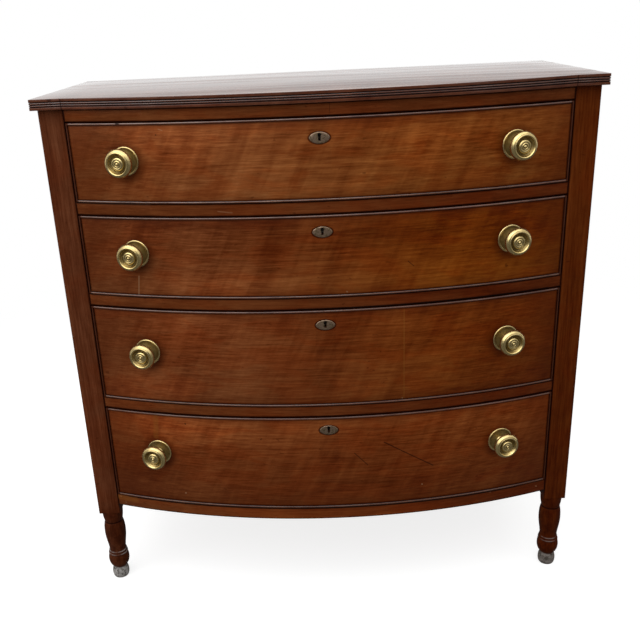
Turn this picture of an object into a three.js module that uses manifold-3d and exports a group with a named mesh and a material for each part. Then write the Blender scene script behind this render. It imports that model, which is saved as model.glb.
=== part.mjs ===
// Bow front chest of four graduated drawers on turned legs, in millimetres.
// +Z is up, the bowed front faces -Y, and the origin lies on the floor under the middle of the piece.
import * as THREE from "three";
import { mergeVertices } from "three/addons/utils/BufferGeometryUtils.js";
import Module from "manifold-3d";

const wasm = await Module();
wasm.setup();

// Case
const caseWidth = 1030;
const caseDepth = 430;
const postSize = 47;
const bowDepth = 81;
const legHeight = 181;
const postDrop = 23;

// Top board
const topThickness = 20;
const topSideOverhang = 11.5;
const topFrontOverhang = 8;
const topRearOverhang = 6;
const topBandHeight = 4.8;
const bottomBandHeight = 7;
const reedGrooveDepth = 1.8;
const reedGrooveWidth = 0.9;
const reedCount = 2;

// Front rails and their tenons
const topRailHeight = 23.5;
const dividerHeight = 24;
const bottomRailHeight = 28;
const railDepth = 60;
const tenonLength = 20;
const tenonThickness = 18;
const tenonSetback = 14;
const tenonShoulder = 4;

// Panels, rear rail, runners and kickers
const panelThickness = 14;
const panelRecess = 3;
const panelTongue = 8;
const backThickness = 12;
const backRabbetWidth = 14;
const rearRailHeight = 45;
const rearRailThickness = 20;
const runnerThickness = 18;
const runnerOverlap = 21;
const guideHeight = 24;
const stopHeight = 12;

// Drawers, from the top one down
const firstFrontHeight = 147;
const secondFrontHeight = 157.5;
const thirdFrontHeight = 201.5;
const fourthFrontHeight = 210.5;
const frontThickness = 26;
const frontPadDepth = 24;
const frontPadWidth = 17;
const drawerSideThickness = 11;
const drawerBackThickness = 11;
const drawerBottomThickness = 7;
const drawerBottomRise = 10;
const drawerGrooveDepth = 5;
const drawerSideDrop = 5;
const tailLength = 15;
const tailSpacing = 46;
const tailWidthShare = 0.7;
const tailSlopeShare = 0.15;

// Cock beads round the fronts
const beadWidth = 4;
const beadProud = 3;
const beadInset = 5;

// Knobs, plates and locks
const knobDiameter = 51;
const knobProjection = 37.5;
const knobOffset = 356;
const knobBoltDiameter = 7;
const knobNutDiameter = 17;
const knobNutThickness = 4;
const knobHeightShares = [0.533, 0.55, 0.551, 0.571];
const plateLength = 37.5;
const plateHeight = 21;
const platePoint = 1.3;
const plateThickness = 2.4;
const plateProud = 0.5;
const firstPlateDrop = 35.5;
const secondPlateDrop = 32;
const thirdPlateDrop = 30.5;
const fourthPlateDrop = 29.5;
const keyRise = 1.5;
const keyHeadDiameter = 6.4;
const keySlotWidth = 4.2;
const keyHoleHeight = 13.5;
const lockWidth = 64;
const lockHeight = 46;
const lockDepth = 11;

// Clearances
const jointGap = 0.3;
const drawerSideGap = 1.8;
const drawerRearGap = 7.7;
const drawerTopGap = 1.5;
const drawerBottomGap = 0.8;
const overrun = 5;
const mergeTolerance = 0.001;

// Counts
const drawerCount = 4;
const bowSteps = 16;
const turnSteps = 14;
const knobSteps = 16;
const ovalSteps = 24;
const keyArcSteps = 7;
const beadNoseSteps = 3;
const reedSteps = 4;

// Turned leg from the shoulder down: share of the leg's height left below, share of half the post
const legShares = [
  [1, 0.96], [0.93, 0.955], [0.865, 0.88], [0.832, 0.815], [0.81, 0.885], [0.755, 0.97],
  [0.69, 0.99], [0.62, 0.965], [0.54, 0.875], [0.47, 0.795], [0.42, 0.775], [0.41, 0.84],
  [0.387, 0.83], [0.376, 0.905], [0.322, 0.965], [0.27, 0.98], [0.22, 0.92], [0.172, 0.76],
  [0.142, 0.63], [0.085, 0.78], [0.03, 0.76], [0, 0.66],
];

// Knob from the drawer face outwards: share of the projection, share of the knob's radius
const knobShares = [
  [0, 1.02], [0.07, 1], [0.09, 0.6], [0.16, 0.36], [0.43, 0.31], [0.57, 0.6],
  [0.66, 0.93], [0.78, 1], [0.9, 0.96], [0.97, 0.82], [0.88, 0.7], [0.81, 0.58],
  [0.83, 0.47], [0.94, 0.36], [0.98, 0.2],
];

// Values that follow from the sizes above
const caseHalf = caseWidth / 2;
const bowHalf = caseHalf - postSize;
const bowRadius = (bowHalf ** 2 + bowDepth ** 2) / (2 * bowDepth);
const bowSag = bowRadius - Math.sqrt(bowRadius ** 2 - (bowHalf / bowSteps) ** 2);
const railBottom = legHeight + postDrop;
const frontHalf = bowHalf - drawerSideGap;
const sideInner = frontHalf - drawerSideThickness;
const panelOuter = caseHalf - panelRecess;
const panelInner = panelOuter - panelThickness;
const backFront = caseDepth - backThickness;
const rearRailFront = backFront - jointGap - rearRailThickness;
const drawerRear = rearRailFront - drawerRearGap;
const centreY = (caseDepth + topRearOverhang - bowDepth - topFrontOverhang) / 2;
const frontHeights = [firstFrontHeight, secondFrontHeight, thirdFrontHeight, fourthFrontHeight];
const plateDrops = [firstPlateDrop, secondPlateDrop, thirdPlateDrop, fourthPlateDrop];

// Heights of the drawers, worked out from the bottom rail upwards
const levels = [];
let rise = railBottom + bottomRailHeight;
for (let i = drawerCount - 1; i >= 0; i -= 1) {
  const bottom = rise + drawerBottomGap;
  const top = bottom + frontHeights[i];
  const ceiling = top + drawerTopGap;
  levels.unshift({ number: i + 1, floor: rise, bottom, top, ceiling });
  rise = ceiling + dividerHeight;
}
const topRailBottom = levels[0].ceiling;
const caseTop = topRailBottom + topRailHeight;

// Materials
const wood = (color, roughness) => new THREE.MeshStandardMaterial({ color, roughness, metalness: 0 });
const brass = (color, roughness) => new THREE.MeshStandardMaterial({ color, roughness, metalness: 1 });
const caseWood = wood(0x4a2113, 0.35);
const frontWood = wood(0x6e3517, 0.35);
const beadWood = wood(0x331610, 0.3);
const innerWood = wood(0xb98f5e, 0.75);
const knobBrass = brass(0xc9a44a, 0.28);
const plateBrass = brass(0x6b5a3a, 0.5);

// Tools for solids
function toSolid(geometry) {
  const bare = geometry.index ? geometry.toNonIndexed() : geometry.clone();
  bare.deleteAttribute("normal");
  bare.deleteAttribute("uv");
  const merged = mergeVertices(bare, mergeTolerance);
  const triVerts = new Uint32Array(merged.index.array);
  return new wasm.Manifold(
    new wasm.Mesh({ numProp: 3, vertProperties: merged.attributes.position.array, triVerts }),
  );
}

function toGeometry(solid) {
  const { vertProperties, triVerts } = solid.getMesh();
  const geometry = new THREE.BufferGeometry();
  geometry.setAttribute("position", new THREE.BufferAttribute(vertProperties, 3));
  geometry.setIndex(new THREE.BufferAttribute(triVerts, 1));
  geometry.computeVertexNormals();
  return geometry;
}

function boxSolid(x, y, z) {
  const box = new THREE.BoxGeometry(x[1] - x[0], y[1] - y[0], z[1] - z[0]);
  box.translate((x[0] + x[1]) / 2, (y[0] + y[1]) / 2, (z[0] + z[1]) / 2);
  return toSolid(box);
}

// The same box on the left or the right half of the chest
function sideBox(side, x, y, z) {
  return boxSolid(side < 0 ? [-x[1], -x[0]] : x, y, z);
}

function shapeOf(points) {
  return new THREE.Shape(points.map(([a, b]) => new THREE.Vector2(a, b)));
}

// Plan outline in x and y, raised between two heights
function plankSolid(points, z) {
  const options = { depth: z[1] - z[0], bevelEnabled: false };
  const plank = new THREE.ExtrudeGeometry(shapeOf(points), options);
  return toSolid(plank.translate(0, 0, z[0]));
}

// Side outlines in y and z, carried across from one x to another
function boardSolid(outlines, x) {
  const options = { depth: x[1] - x[0], bevelEnabled: false };
  const board = new THREE.ExtrudeGeometry(outlines.map(shapeOf), options);
  const turn = new THREE.Matrix4().makeBasis(
    new THREE.Vector3(0, 1, 0),
    new THREE.Vector3(0, 0, 1),
    new THREE.Vector3(1, 0, 0),
  );
  return toSolid(board.applyMatrix4(turn).translate(x[0], 0, 0));
}

// Front outline in x and z, carried back from one y to another
function plateSolid(shape, y) {
  const options = { depth: y[1] - y[0], bevelEnabled: false, curveSegments: keyArcSteps };
  const plate = new THREE.ExtrudeGeometry(shape, options);
  return toSolid(plate.rotateX(Math.PI / 2).translate(0, y[1], 0));
}

// Rows of points, each a closed loop; the ends are capped, or the last row meets the first
function skinGeometry(rows, looped) {
  const count = rows[0].length;
  const faces = [];
  const bands = looped ? rows.length : rows.length - 1;
  for (let r = 0; r < bands; r += 1) {
    const low = r * count;
    const high = ((r + 1) % rows.length) * count;
    for (let i = 0; i < count; i += 1) {
      const j = (i + 1) % count;
      faces.push(low + i, low + j, high + j, low + i, high + j, high + i);
    }
  }
  if (!looped) {
    const flat = rows[0].map((p) => new THREE.Vector2(p.x, p.y));
    const last = (rows.length - 1) * count;
    for (const [a, b, c] of THREE.ShapeUtils.triangulateShape(flat, [])) {
      faces.push(a, c, b, last + a, last + b, last + c);
    }
  }
  const geometry = new THREE.BufferGeometry().setFromPoints(rows.flat());
  geometry.setIndex(faces);
  return geometry;
}

// The bow: how far forward the front stands at x, with the posts' front plane at zero
function bowY(x) {
  return bowRadius - bowDepth - Math.sqrt(bowRadius ** 2 - x ** 2);
}

function bowLine(half, shift, steps = bowSteps) {
  const points = [];
  for (let i = 0; i <= steps; i += 1) {
    const x = half * ((2 * i) / steps - 1);
    points.push([x, bowY(x) + shift]);
  }
  return points;
}

// Assembly
const chest = new THREE.Group();
chest.position.y = -centreY;

function add(name, shape, material) {
  const geometry = shape.isBufferGeometry ? shape : toGeometry(shape);
  const mesh = new THREE.Mesh(geometry, material);
  mesh.name = name;
  chest.add(mesh);
  return mesh;
}

// Top board, with a reeded edge on its front and ends
function topOutline(inset, z) {
  const half = caseHalf + topSideOverhang - inset;
  const front = inset - topFrontOverhang;
  const rear = caseDepth + topRearOverhang;
  const bow = bowLine(bowHalf, front);
  const points = [[-half, rear], [-half, front], ...bow, [half, front], [half, rear]];
  return points.map(([x, y]) => new THREE.Vector3(x, y, z));
}

function topBoard() {
  const low = caseTop;
  const high = low + topThickness;
  const reedTop = high - topBandHeight;
  const reedBottom = low + bottomBandHeight;
  const pitch = (reedTop - reedBottom) / reedCount;
  const edge = [[0, low], [0, reedBottom - reedGrooveWidth / 2]];
  for (let r = 0; r < reedCount; r += 1) {
    const start = reedBottom + r * pitch;
    edge.push([reedGrooveDepth, start]);
    for (let i = 1; i < reedSteps; i += 1) {
      const angle = (Math.PI * i) / reedSteps;
      edge.push([reedGrooveDepth * (1 - Math.sin(angle)), start + (pitch * (1 - Math.cos(angle))) / 2]);
    }
  }
  edge.push([reedGrooveDepth, reedTop], [0, reedTop + reedGrooveWidth / 2], [0, high]);
  return skinGeometry(edge.map(([inset, z]) => topOutline(inset, z)), false);
}

// Posts: square above, turned below, housed for rails, panels and back
function legSolid(x, y) {
  const half = postSize / 2;
  const profile = legShares.map(([up, out]) => new THREE.Vector2(out * half, up * legHeight));
  const embedded = new THREE.Vector2(profile[0].x, legHeight + overrun);
  const points = [new THREE.Vector2(0, 0), ...profile.toReversed(), embedded];
  points.push(new THREE.Vector2(0, legHeight + overrun));
  const leg = new THREE.LatheGeometry(points, turnSteps);
  return toSolid(leg.rotateX(Math.PI / 2).translate(x, y, 0));
}

function railMortises(side) {
  const rails = [[topRailBottom, caseTop], [railBottom, railBottom + bottomRailHeight]];
  for (const level of levels.slice(1)) {
    rails.push([level.ceiling, level.ceiling + dividerHeight]);
  }
  return rails.map(([low, high]) =>
    sideBox(
      side,
      [bowHalf - overrun, bowHalf + tenonLength + jointGap],
      [tenonSetback - jointGap, tenonSetback + tenonThickness + jointGap],
      [low + tenonShoulder - jointGap, high - tenonShoulder + jointGap],
    ),
  );
}

function post(side, rear) {
  const y = rear ? [caseDepth - postSize, caseDepth] : [0, postSize];
  const square = sideBox(side, [bowHalf, caseHalf], y, [legHeight, caseTop - jointGap]);
  const turned = legSolid(side * (caseHalf - postSize / 2), (y[0] + y[1]) / 2);
  const housing = rear
    ? [y[0] - overrun, y[0] + panelTongue + jointGap]
    : [y[1] - panelTongue - jointGap, y[1] + overrun];
  const cuts = [
    sideBox(
      side,
      [panelInner - jointGap, panelOuter + jointGap],
      housing,
      [railBottom - jointGap, caseTop + overrun],
    ),
  ];
  if (rear) {
    cuts.push(
      sideBox(
        side,
        [bowHalf - overrun, bowHalf + backRabbetWidth + jointGap],
        [backFront - jointGap, caseDepth + overrun],
        [railBottom - jointGap, caseTop + overrun],
      ),
      sideBox(
        side,
        [bowHalf - overrun, bowHalf + tenonLength + jointGap],
        [rearRailFront - jointGap, backFront],
        [caseTop - rearRailHeight - jointGap, caseTop + overrun],
      ),
    );
  } else {
    cuts.push(...railMortises(side));
  }
  return cuts.reduce((solid, cut) => solid.subtract(cut), square.add(turned));
}

// Front rails: bowed in front, straight behind, with a tenon at each end
function frontRail(low, high) {
  const half = bowHalf - jointGap;
  const plan = [...bowLine(half, 0), [half, railDepth], [-half, railDepth]];
  let rail = plankSolid(plan, [low, high]);
  for (const side of [-1, 1]) {
    rail = rail.add(
      sideBox(
        side,
        [half - overrun, bowHalf + tenonLength],
        [tenonSetback, tenonSetback + tenonThickness],
        [low + tenonShoulder, high - tenonShoulder],
      ),
    );
  }
  return rail;
}

function rearTopRail() {
  return boxSolid(
    [-bowHalf - tenonLength, bowHalf + tenonLength],
    [rearRailFront, backFront - jointGap],
    [caseTop - rearRailHeight, caseTop - jointGap],
  );
}

function sidePanel(side) {
  return sideBox(
    side,
    [panelInner, panelOuter],
    [postSize - panelTongue, caseDepth - postSize + panelTongue],
    [railBottom, caseTop - jointGap],
  );
}

function backPanel() {
  const half = bowHalf + backRabbetWidth;
  return boxSolid([-half, half], [backFront, caseDepth], [railBottom, caseTop - jointGap]);
}

// Runners and kickers lie between the front rails and the rear, round the rear posts
function runnerPlan(rearEnd) {
  const inner = bowHalf - runnerOverlap;
  const outer = panelInner - jointGap;
  const front = railDepth + jointGap;
  const notchX = bowHalf - jointGap;
  const notchY = caseDepth - postSize - jointGap;
  return [
    [inner, front], [outer, front], [outer, notchY], [notchX, notchY], [notchX, rearEnd], [inner, rearEnd],
  ];
}

function handed(points, side) {
  return points.map(([x, y]) => [side * x, y]);
}

function runner(side, floor) {
  const plan = handed(runnerPlan(backFront - jointGap), side);
  const shelf = plankSolid(plan, [floor - runnerThickness, floor]);
  const guide = sideBox(
    side,
    [bowHalf, panelInner - jointGap],
    [railDepth + jointGap, caseDepth - postSize - jointGap],
    [floor - runnerThickness / 2, floor + guideHeight],
  );
  const stop = sideBox(
    side,
    [bowHalf - runnerOverlap, bowHalf - jointGap],
    [drawerRear + jointGap, backFront - jointGap],
    [floor - runnerThickness / 2, floor + stopHeight],
  );
  return shelf.add(guide).add(stop);
}

function kicker(side) {
  const plan = handed(runnerPlan(rearRailFront - jointGap), side);
  return plankSolid(plan, [topRailBottom, caseTop - jointGap]);
}

// Dovetails, as outlines in y and z between two heights
function tails(root, tip, low, high, grow = 0) {
  const count = Math.max(1, Math.round((high - low) / tailSpacing));
  const pitch = (high - low) / count;
  const wide = (pitch * tailWidthShare) / 2;
  const narrow = wide - Math.abs(root - tip) * tailSlopeShare;
  const reach = tip + Math.sign(tip - root) * grow;
  const outlines = [];
  for (let i = 0; i < count; i += 1) {
    const middle = low + pitch * (i + 1 / 2);
    outlines.push([
      [root, middle - narrow - grow], [reach, middle - wide - grow],
      [reach, middle + wide + grow], [root, middle + narrow + grow],
    ]);
  }
  return outlines;
}

// Each socket also runs past its root, so that it opens fully
function sockets(root, tip, low, high) {
  const back = root - Math.sign(tip - root) * overrun;
  return tails(root, tip, low, high, jointGap).map(([a, b, c, d]) => [
    [back, a[1]], a, b, c, d, [back, d[1]],
  ]);
}

// Heights and depths of one drawer's boards, and where its front dovetails begin and end
function drawerFrame(level) {
  const low = level.floor + jointGap;
  const high = level.top - drawerSideDrop;
  const bottomLow = low + drawerBottomRise;
  const backLow = bottomLow + drawerBottomThickness + jointGap;
  const backFace = drawerRear - drawerBackThickness;
  const root = frontPadDepth;
  return { low, high, bottomLow, backLow, backFace, root, tip: root - tailLength };
}

function bottomSolid(level, grow) {
  const frame = drawerFrame(level);
  const half = sideInner + drawerGrooveDepth - jointGap + grow;
  const line = bowLine(half, frontThickness - drawerGrooveDepth + jointGap - grow);
  const rear = grow > 0 ? drawerRear + overrun : drawerRear;
  const plan = [...line, [half, rear], [-half, rear]];
  return plankSolid(plan, [frame.bottomLow - grow, frame.bottomLow + drawerBottomThickness + grow]);
}

function drawerSide(level, side) {
  const { low, high, backLow, backFace, root, tip } = drawerFrame(level);
  const shoulder = root + jointGap;
  const rearShoulder = backFace - jointGap;
  const frontTails = tails(root, tip, low, high).map(([a, b, c, d]) => [
    [shoulder, a[1]], b, c, [shoulder, d[1]],
  ]);
  const rearTails = tails(backFace, drawerRear, backLow, high).map(([a, b, c, d]) => [
    [rearShoulder, a[1]], b, c, [rearShoulder, d[1]],
  ]);
  const outline = [
    [shoulder, low],
    ...frontTails.flat(),
    [shoulder, high],
    [rearShoulder, high],
    ...rearTails.flat().toReversed(),
    [rearShoulder, backLow - jointGap],
    [drawerRear, backLow - jointGap],
    [drawerRear, low],
  ];
  const x = side < 0 ? [-frontHalf, -sideInner] : [sideInner, frontHalf];
  return boardSolid([outline], x).subtract(bottomSolid(level, jointGap));
}

function drawerBack(level) {
  const { high, backLow, backFace } = drawerFrame(level);
  const board = boxSolid([-frontHalf, frontHalf], [backFace, drawerRear], [backLow, high]);
  const holes = sockets(backFace, drawerRear, backLow, high);
  return board
    .subtract(boardSolid(holes, [sideInner - jointGap, frontHalf + overrun]))
    .subtract(boardSolid(holes, [-frontHalf - overrun, -sideInner + jointGap]));
}

// A cock bead runs round the edge of each front, nosed like a half round
function beadSection(grow) {
  const back = beadInset + grow;
  const width = beadWidth + grow;
  if (grow > 0) {
    return [[-overrun, -overrun], [width, -overrun], [width, back], [-overrun, back]];
  }
  const nose = beadWidth / 2;
  const section = [];
  for (let i = 0; i <= beadNoseSteps; i += 1) {
    const angle = (Math.PI * i) / beadNoseSteps;
    section.push([nose - nose * Math.cos(angle), nose - beadProud - nose * Math.sin(angle)]);
  }
  section.push([beadWidth, back], [0, back]);
  return section;
}

function beadGeometry(level, grow = 0) {
  const rows = beadSection(grow).map(([inset, back]) => {
    const line = bowLine(frontHalf, 0).map(([x]) => x * (1 - inset / frontHalf));
    const low = line.map((x) => new THREE.Vector3(x, bowY(x) + back, level.bottom + inset));
    const high = line.toReversed().map((x) => new THREE.Vector3(x, bowY(x) + back, level.top - inset));
    return [...low, ...high];
  });
  return skinGeometry(rows, true);
}

// Keyhole, plate and lock share one centre line
function plateMiddle(level) {
  return level.top - plateDrops[level.number - 1];
}

function keyHole(level, grow) {
  const head = keyHeadDiameter / 2 + grow;
  const slot = keySlotWidth / 2 + grow;
  const spread = Math.asin(slot / head);
  const top = plateMiddle(level) + keyRise + keyHoleHeight / 2 + grow;
  const low = top - keyHoleHeight - 2 * grow;
  const shape = new THREE.Shape();
  shape.absarc(0, top - head, head, spread - Math.PI / 2, (3 * Math.PI) / 2 - spread, false);
  shape.lineTo(-slot, low);
  shape.lineTo(slot, low);
  return shape;
}

// The plate is an oval whose ends come to a soft point
function ovalShape(level, grow) {
  const points = [];
  for (let i = 0; i < ovalSteps; i += 1) {
    const angle = (2 * Math.PI * i) / ovalSteps;
    const rise = Math.sign(Math.sin(angle)) * Math.abs(Math.sin(angle)) ** platePoint;
    const across = (plateLength / 2 + grow) * Math.cos(angle);
    points.push([across, plateMiddle(level) + (plateHeight / 2 + grow) * rise]);
  }
  return shapeOf(points);
}

function keyPlate(level) {
  const face = -bowDepth - plateProud;
  const plate = plateSolid(ovalShape(level, 0), [face, face + plateThickness]);
  return plate.subtract(plateSolid(keyHole(level, 0), [face - overrun, 0]));
}

function lockPocket(level) {
  const half = lockWidth / 2;
  const front = frontThickness - bowDepth - lockDepth;
  return boxSolid([-half, half], [front, 0], [level.top - lockHeight, level.top + overrun]);
}

// Knobs stand square to the bow, each with its bolt and nut through the front
function knobTurn(side) {
  return Math.asin((side * knobOffset) / bowRadius);
}

function onBow(geometry, side, z) {
  const x = side * knobOffset;
  return geometry.rotateX(Math.PI).rotateZ(knobTurn(side)).translate(x, bowY(x), z);
}

function knobHeight(level) {
  return level.bottom + frontHeights[level.number - 1] * knobHeightShares[level.number - 1];
}

function boardAtKnob() {
  return frontThickness * Math.cos(knobTurn(1));
}

function knobGeometry(side, z) {
  const nutFace = -boardAtKnob() - bowSag - jointGap;
  const points = [
    new THREE.Vector2(0, nutFace - knobNutThickness),
    new THREE.Vector2(knobNutDiameter / 2, nutFace - knobNutThickness),
    new THREE.Vector2(knobNutDiameter / 2, nutFace),
    new THREE.Vector2(knobBoltDiameter / 2, nutFace),
    new THREE.Vector2(knobBoltDiameter / 2, jointGap),
  ];
  for (const [out, radius] of knobShares) {
    points.push(new THREE.Vector2((radius * knobDiameter) / 2, jointGap + out * knobProjection));
  }
  points.push(new THREE.Vector2(0, jointGap + knobProjection));
  return onBow(new THREE.LatheGeometry(points, knobSteps), side, z);
}

function knobHole(side, z) {
  const length = frontThickness * 2;
  const radius = knobBoltDiameter / 2 + jointGap;
  const hole = new THREE.CylinderGeometry(radius, radius, length, knobSteps);
  return toSolid(onBow(hole.translate(0, -frontThickness / 2, 0), side, z));
}

function drawerFront(level) {
  const { low, high, root, tip } = drawerFrame(level);
  const padHalf = frontHalf - frontPadWidth;
  const archHalf = padHalf - frontThickness / 4;
  const plan = [
    ...bowLine(frontHalf, 0),
    [frontHalf, frontPadDepth],
    [padHalf, frontPadDepth],
    ...bowLine(archHalf, frontThickness).toReversed(),
    [-padHalf, frontPadDepth],
    [-frontHalf, frontPadDepth],
  ];
  const holes = sockets(root, tip, low, high);
  const knobZ = knobHeight(level);
  const recessBack = plateThickness + jointGap - plateProud - bowDepth;
  const keyHoleBack = frontThickness + overrun - bowDepth - lockDepth;
  const cuts = [
    toSolid(beadGeometry(level, jointGap)),
    boardSolid(holes, [sideInner - jointGap, frontHalf + overrun]),
    boardSolid(holes, [-frontHalf - overrun, -sideInner + jointGap]),
    bottomSolid(level, jointGap),
    lockPocket(level),
    plateSolid(ovalShape(level, jointGap), [-bowDepth - overrun, recessBack]),
    plateSolid(keyHole(level, jointGap), [-bowDepth - overrun, keyHoleBack]),
    knobHole(-1, knobZ),
    knobHole(1, knobZ),
  ];
  return cuts.reduce((solid, cut) => solid.subtract(cut), plankSolid(plan, [level.bottom, level.top]));
}

// Case
add("top_board", topBoard(), caseWood);
for (const [side, hand] of [[-1, "left"], [1, "right"]]) {
  add(`post_front_${hand}`, post(side, false), caseWood);
  add(`post_rear_${hand}`, post(side, true), caseWood);
  add(`side_panel_${hand}`, sidePanel(side), caseWood);
  add(`kicker_${hand}`, kicker(side), innerWood);
  for (const level of levels) {
    add(`runner_${level.number}_${hand}`, runner(side, level.floor), innerWood);
  }
}
add("back_panel", backPanel(), innerWood);
add("rear_top_rail", rearTopRail(), innerWood);
add("front_top_rail", frontRail(topRailBottom, caseTop - jointGap), caseWood);
add("front_bottom_rail", frontRail(railBottom, railBottom + bottomRailHeight), caseWood);
for (const level of levels.slice(1)) {
  add(`divider_${level.number - 1}`, frontRail(level.ceiling, level.ceiling + dividerHeight), caseWood);
}

// Drawers
for (const level of levels) {
  const drawer = `drawer_${level.number}`;
  add(`${drawer}_front`, drawerFront(level), frontWood);
  add(`${drawer}_bead`, beadGeometry(level), beadWood);
  add(`${drawer}_back`, drawerBack(level), innerWood);
  add(`${drawer}_bottom`, bottomSolid(level, 0), innerWood);
  add(`${drawer}_key_plate`, keyPlate(level), plateBrass);
  for (const [side, hand] of [[-1, "left"], [1, "right"]]) {
    add(`${drawer}_side_${hand}`, drawerSide(level, side), innerWood);
    add(`${drawer}_knob_${hand}`, knobGeometry(side, knobHeight(level)), knobBrass);
  }
}

export default chest;
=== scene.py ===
"""Looks of a bow front chest of drawers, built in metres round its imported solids."""

import logging  # noqa: E402
import math  # noqa: E402
from collections.abc import Callable, Iterable, Sequence  # noqa: E402
from dataclasses import dataclass  # noqa: E402
from enum import Enum  # noqa: E402
from typing import TypeAlias  # noqa: E402

import bmesh  # noqa: E402
import bpy  # noqa: E402
from mathutils import Matrix, Vector  # noqa: E402


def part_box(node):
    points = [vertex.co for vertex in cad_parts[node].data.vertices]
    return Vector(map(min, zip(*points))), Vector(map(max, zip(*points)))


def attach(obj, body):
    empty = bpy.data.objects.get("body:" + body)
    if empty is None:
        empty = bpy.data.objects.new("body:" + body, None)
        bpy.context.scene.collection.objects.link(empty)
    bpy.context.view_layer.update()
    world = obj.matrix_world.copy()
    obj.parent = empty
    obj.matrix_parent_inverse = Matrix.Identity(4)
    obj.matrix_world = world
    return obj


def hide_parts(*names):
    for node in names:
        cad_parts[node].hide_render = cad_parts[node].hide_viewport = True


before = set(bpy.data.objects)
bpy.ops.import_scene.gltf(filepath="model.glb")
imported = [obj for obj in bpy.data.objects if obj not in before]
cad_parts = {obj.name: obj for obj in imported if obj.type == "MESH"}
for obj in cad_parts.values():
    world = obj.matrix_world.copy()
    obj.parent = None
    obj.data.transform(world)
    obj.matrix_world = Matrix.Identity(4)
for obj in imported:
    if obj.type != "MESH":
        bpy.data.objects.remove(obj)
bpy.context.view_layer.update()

LOG = logging.getLogger("chest")
MM = 0.001
FULL_TURN = 2 * math.pi
MERGE = 0.01 * MM
SHARP = 35
TO_FRONT = Matrix.Rotation(math.radians(90), 4, "X")
TO_REAR = Matrix.Rotation(math.radians(-90), 4, "X")
RAILS = ("front_top_rail", "divider_1", "divider_2", "divider_3", "front_bottom_rail")
HANDS = ("left", "right")
DRAWERS = range(1, 5)

Colour = tuple[float, float, float]
Number: TypeAlias = "Wire | float"


class Grain(Enum):
    """Which way the fibres of a board run."""

    ACROSS = (0, 1, 2)
    DEEP = (1, 0, 2)
    UPRIGHT = (2, 0, 1)

    def turn(self, x: "Wire", y: "Wire", z: "Wire") -> list["Wire"]:
        """The axes in the order along the fibres, beside them and through them."""
        axes = (x, y, z)
        return [axes[axis] for axis in self.value]


# Shader tools
class Wire:
    """One output of a node; a sum, product or the like of outputs adds a Math node."""

    def __init__(self, tree: bpy.types.NodeTree, socket: bpy.types.NodeSocket) -> None:
        """Keeps the socket and the tree that holds it."""
        self.tree = tree
        self.socket = socket

    def math(self, operation: str, *values: Number, clamp: bool = False) -> "Wire":
        """Adds one Math node.

        Args:
            operation: the node's own name for the operation.
            values: the inputs, wires or plain numbers.
            clamp: keeps the result between 0 and 1.

        Returns:
            The node's output.
        """
        node = self.tree.nodes.new("ShaderNodeMath")
        node.operation = operation
        node.use_clamp = clamp
        for slot, value in zip(node.inputs, values):
            if isinstance(value, Wire):
                self.tree.links.new(value.socket, slot)
            else:
                slot.default_value = value
        return Wire(self.tree, node.outputs[0])

    def __add__(self, other: Number) -> "Wire":
        """Sum."""
        return self.math("ADD", self, other)

    __radd__ = __add__

    def __sub__(self, other: Number) -> "Wire":
        """Difference."""
        return self.math("SUBTRACT", self, other)

    def __rsub__(self, other: Number) -> "Wire":
        """Difference, with the wire taken away."""
        return self.math("SUBTRACT", other, self)

    def __mul__(self, other: Number) -> "Wire":
        """Product."""
        return self.math("MULTIPLY", self, other)

    __rmul__ = __mul__

    def __truediv__(self, other: Number) -> "Wire":
        """Quotient."""
        return self.math("DIVIDE", self, other)

    def __pow__(self, other: Number) -> "Wire":
        """Power."""
        return self.math("POWER", self, other)

    def size(self) -> "Wire":
        """Absolute value."""
        return self.math("ABSOLUTE", self)

    def least(self, other: Number) -> "Wire":
        """The smaller of two."""
        return self.math("MINIMUM", self, other)

    def most(self, other: Number) -> "Wire":
        """The larger of two."""
        return self.math("MAXIMUM", self, other)

    def rise(self, low: float, high: float) -> "Wire":
        """A soft step from 0 at low to 1 at high, or a fall if low is the larger."""
        share = self.math("DIVIDE", self - low, high - low, clamp=True)
        return share * share * (3 - 2 * share)

    def off(self, *levels: float) -> "Wire":
        """How far the value is from the nearest of some levels.

        Args:
            levels: the levels to compare it with.

        Returns:
            The least distance.
        """
        gap = (self - levels[0]).size()
        for level in levels[1:]:
            gap = gap.least((self - level).size())
        return gap

    def reach(self, other: "Wire") -> "Wire":
        """How far a point at these two places is from the origin."""
        return (self * self + other * other) ** 0.5


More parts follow.
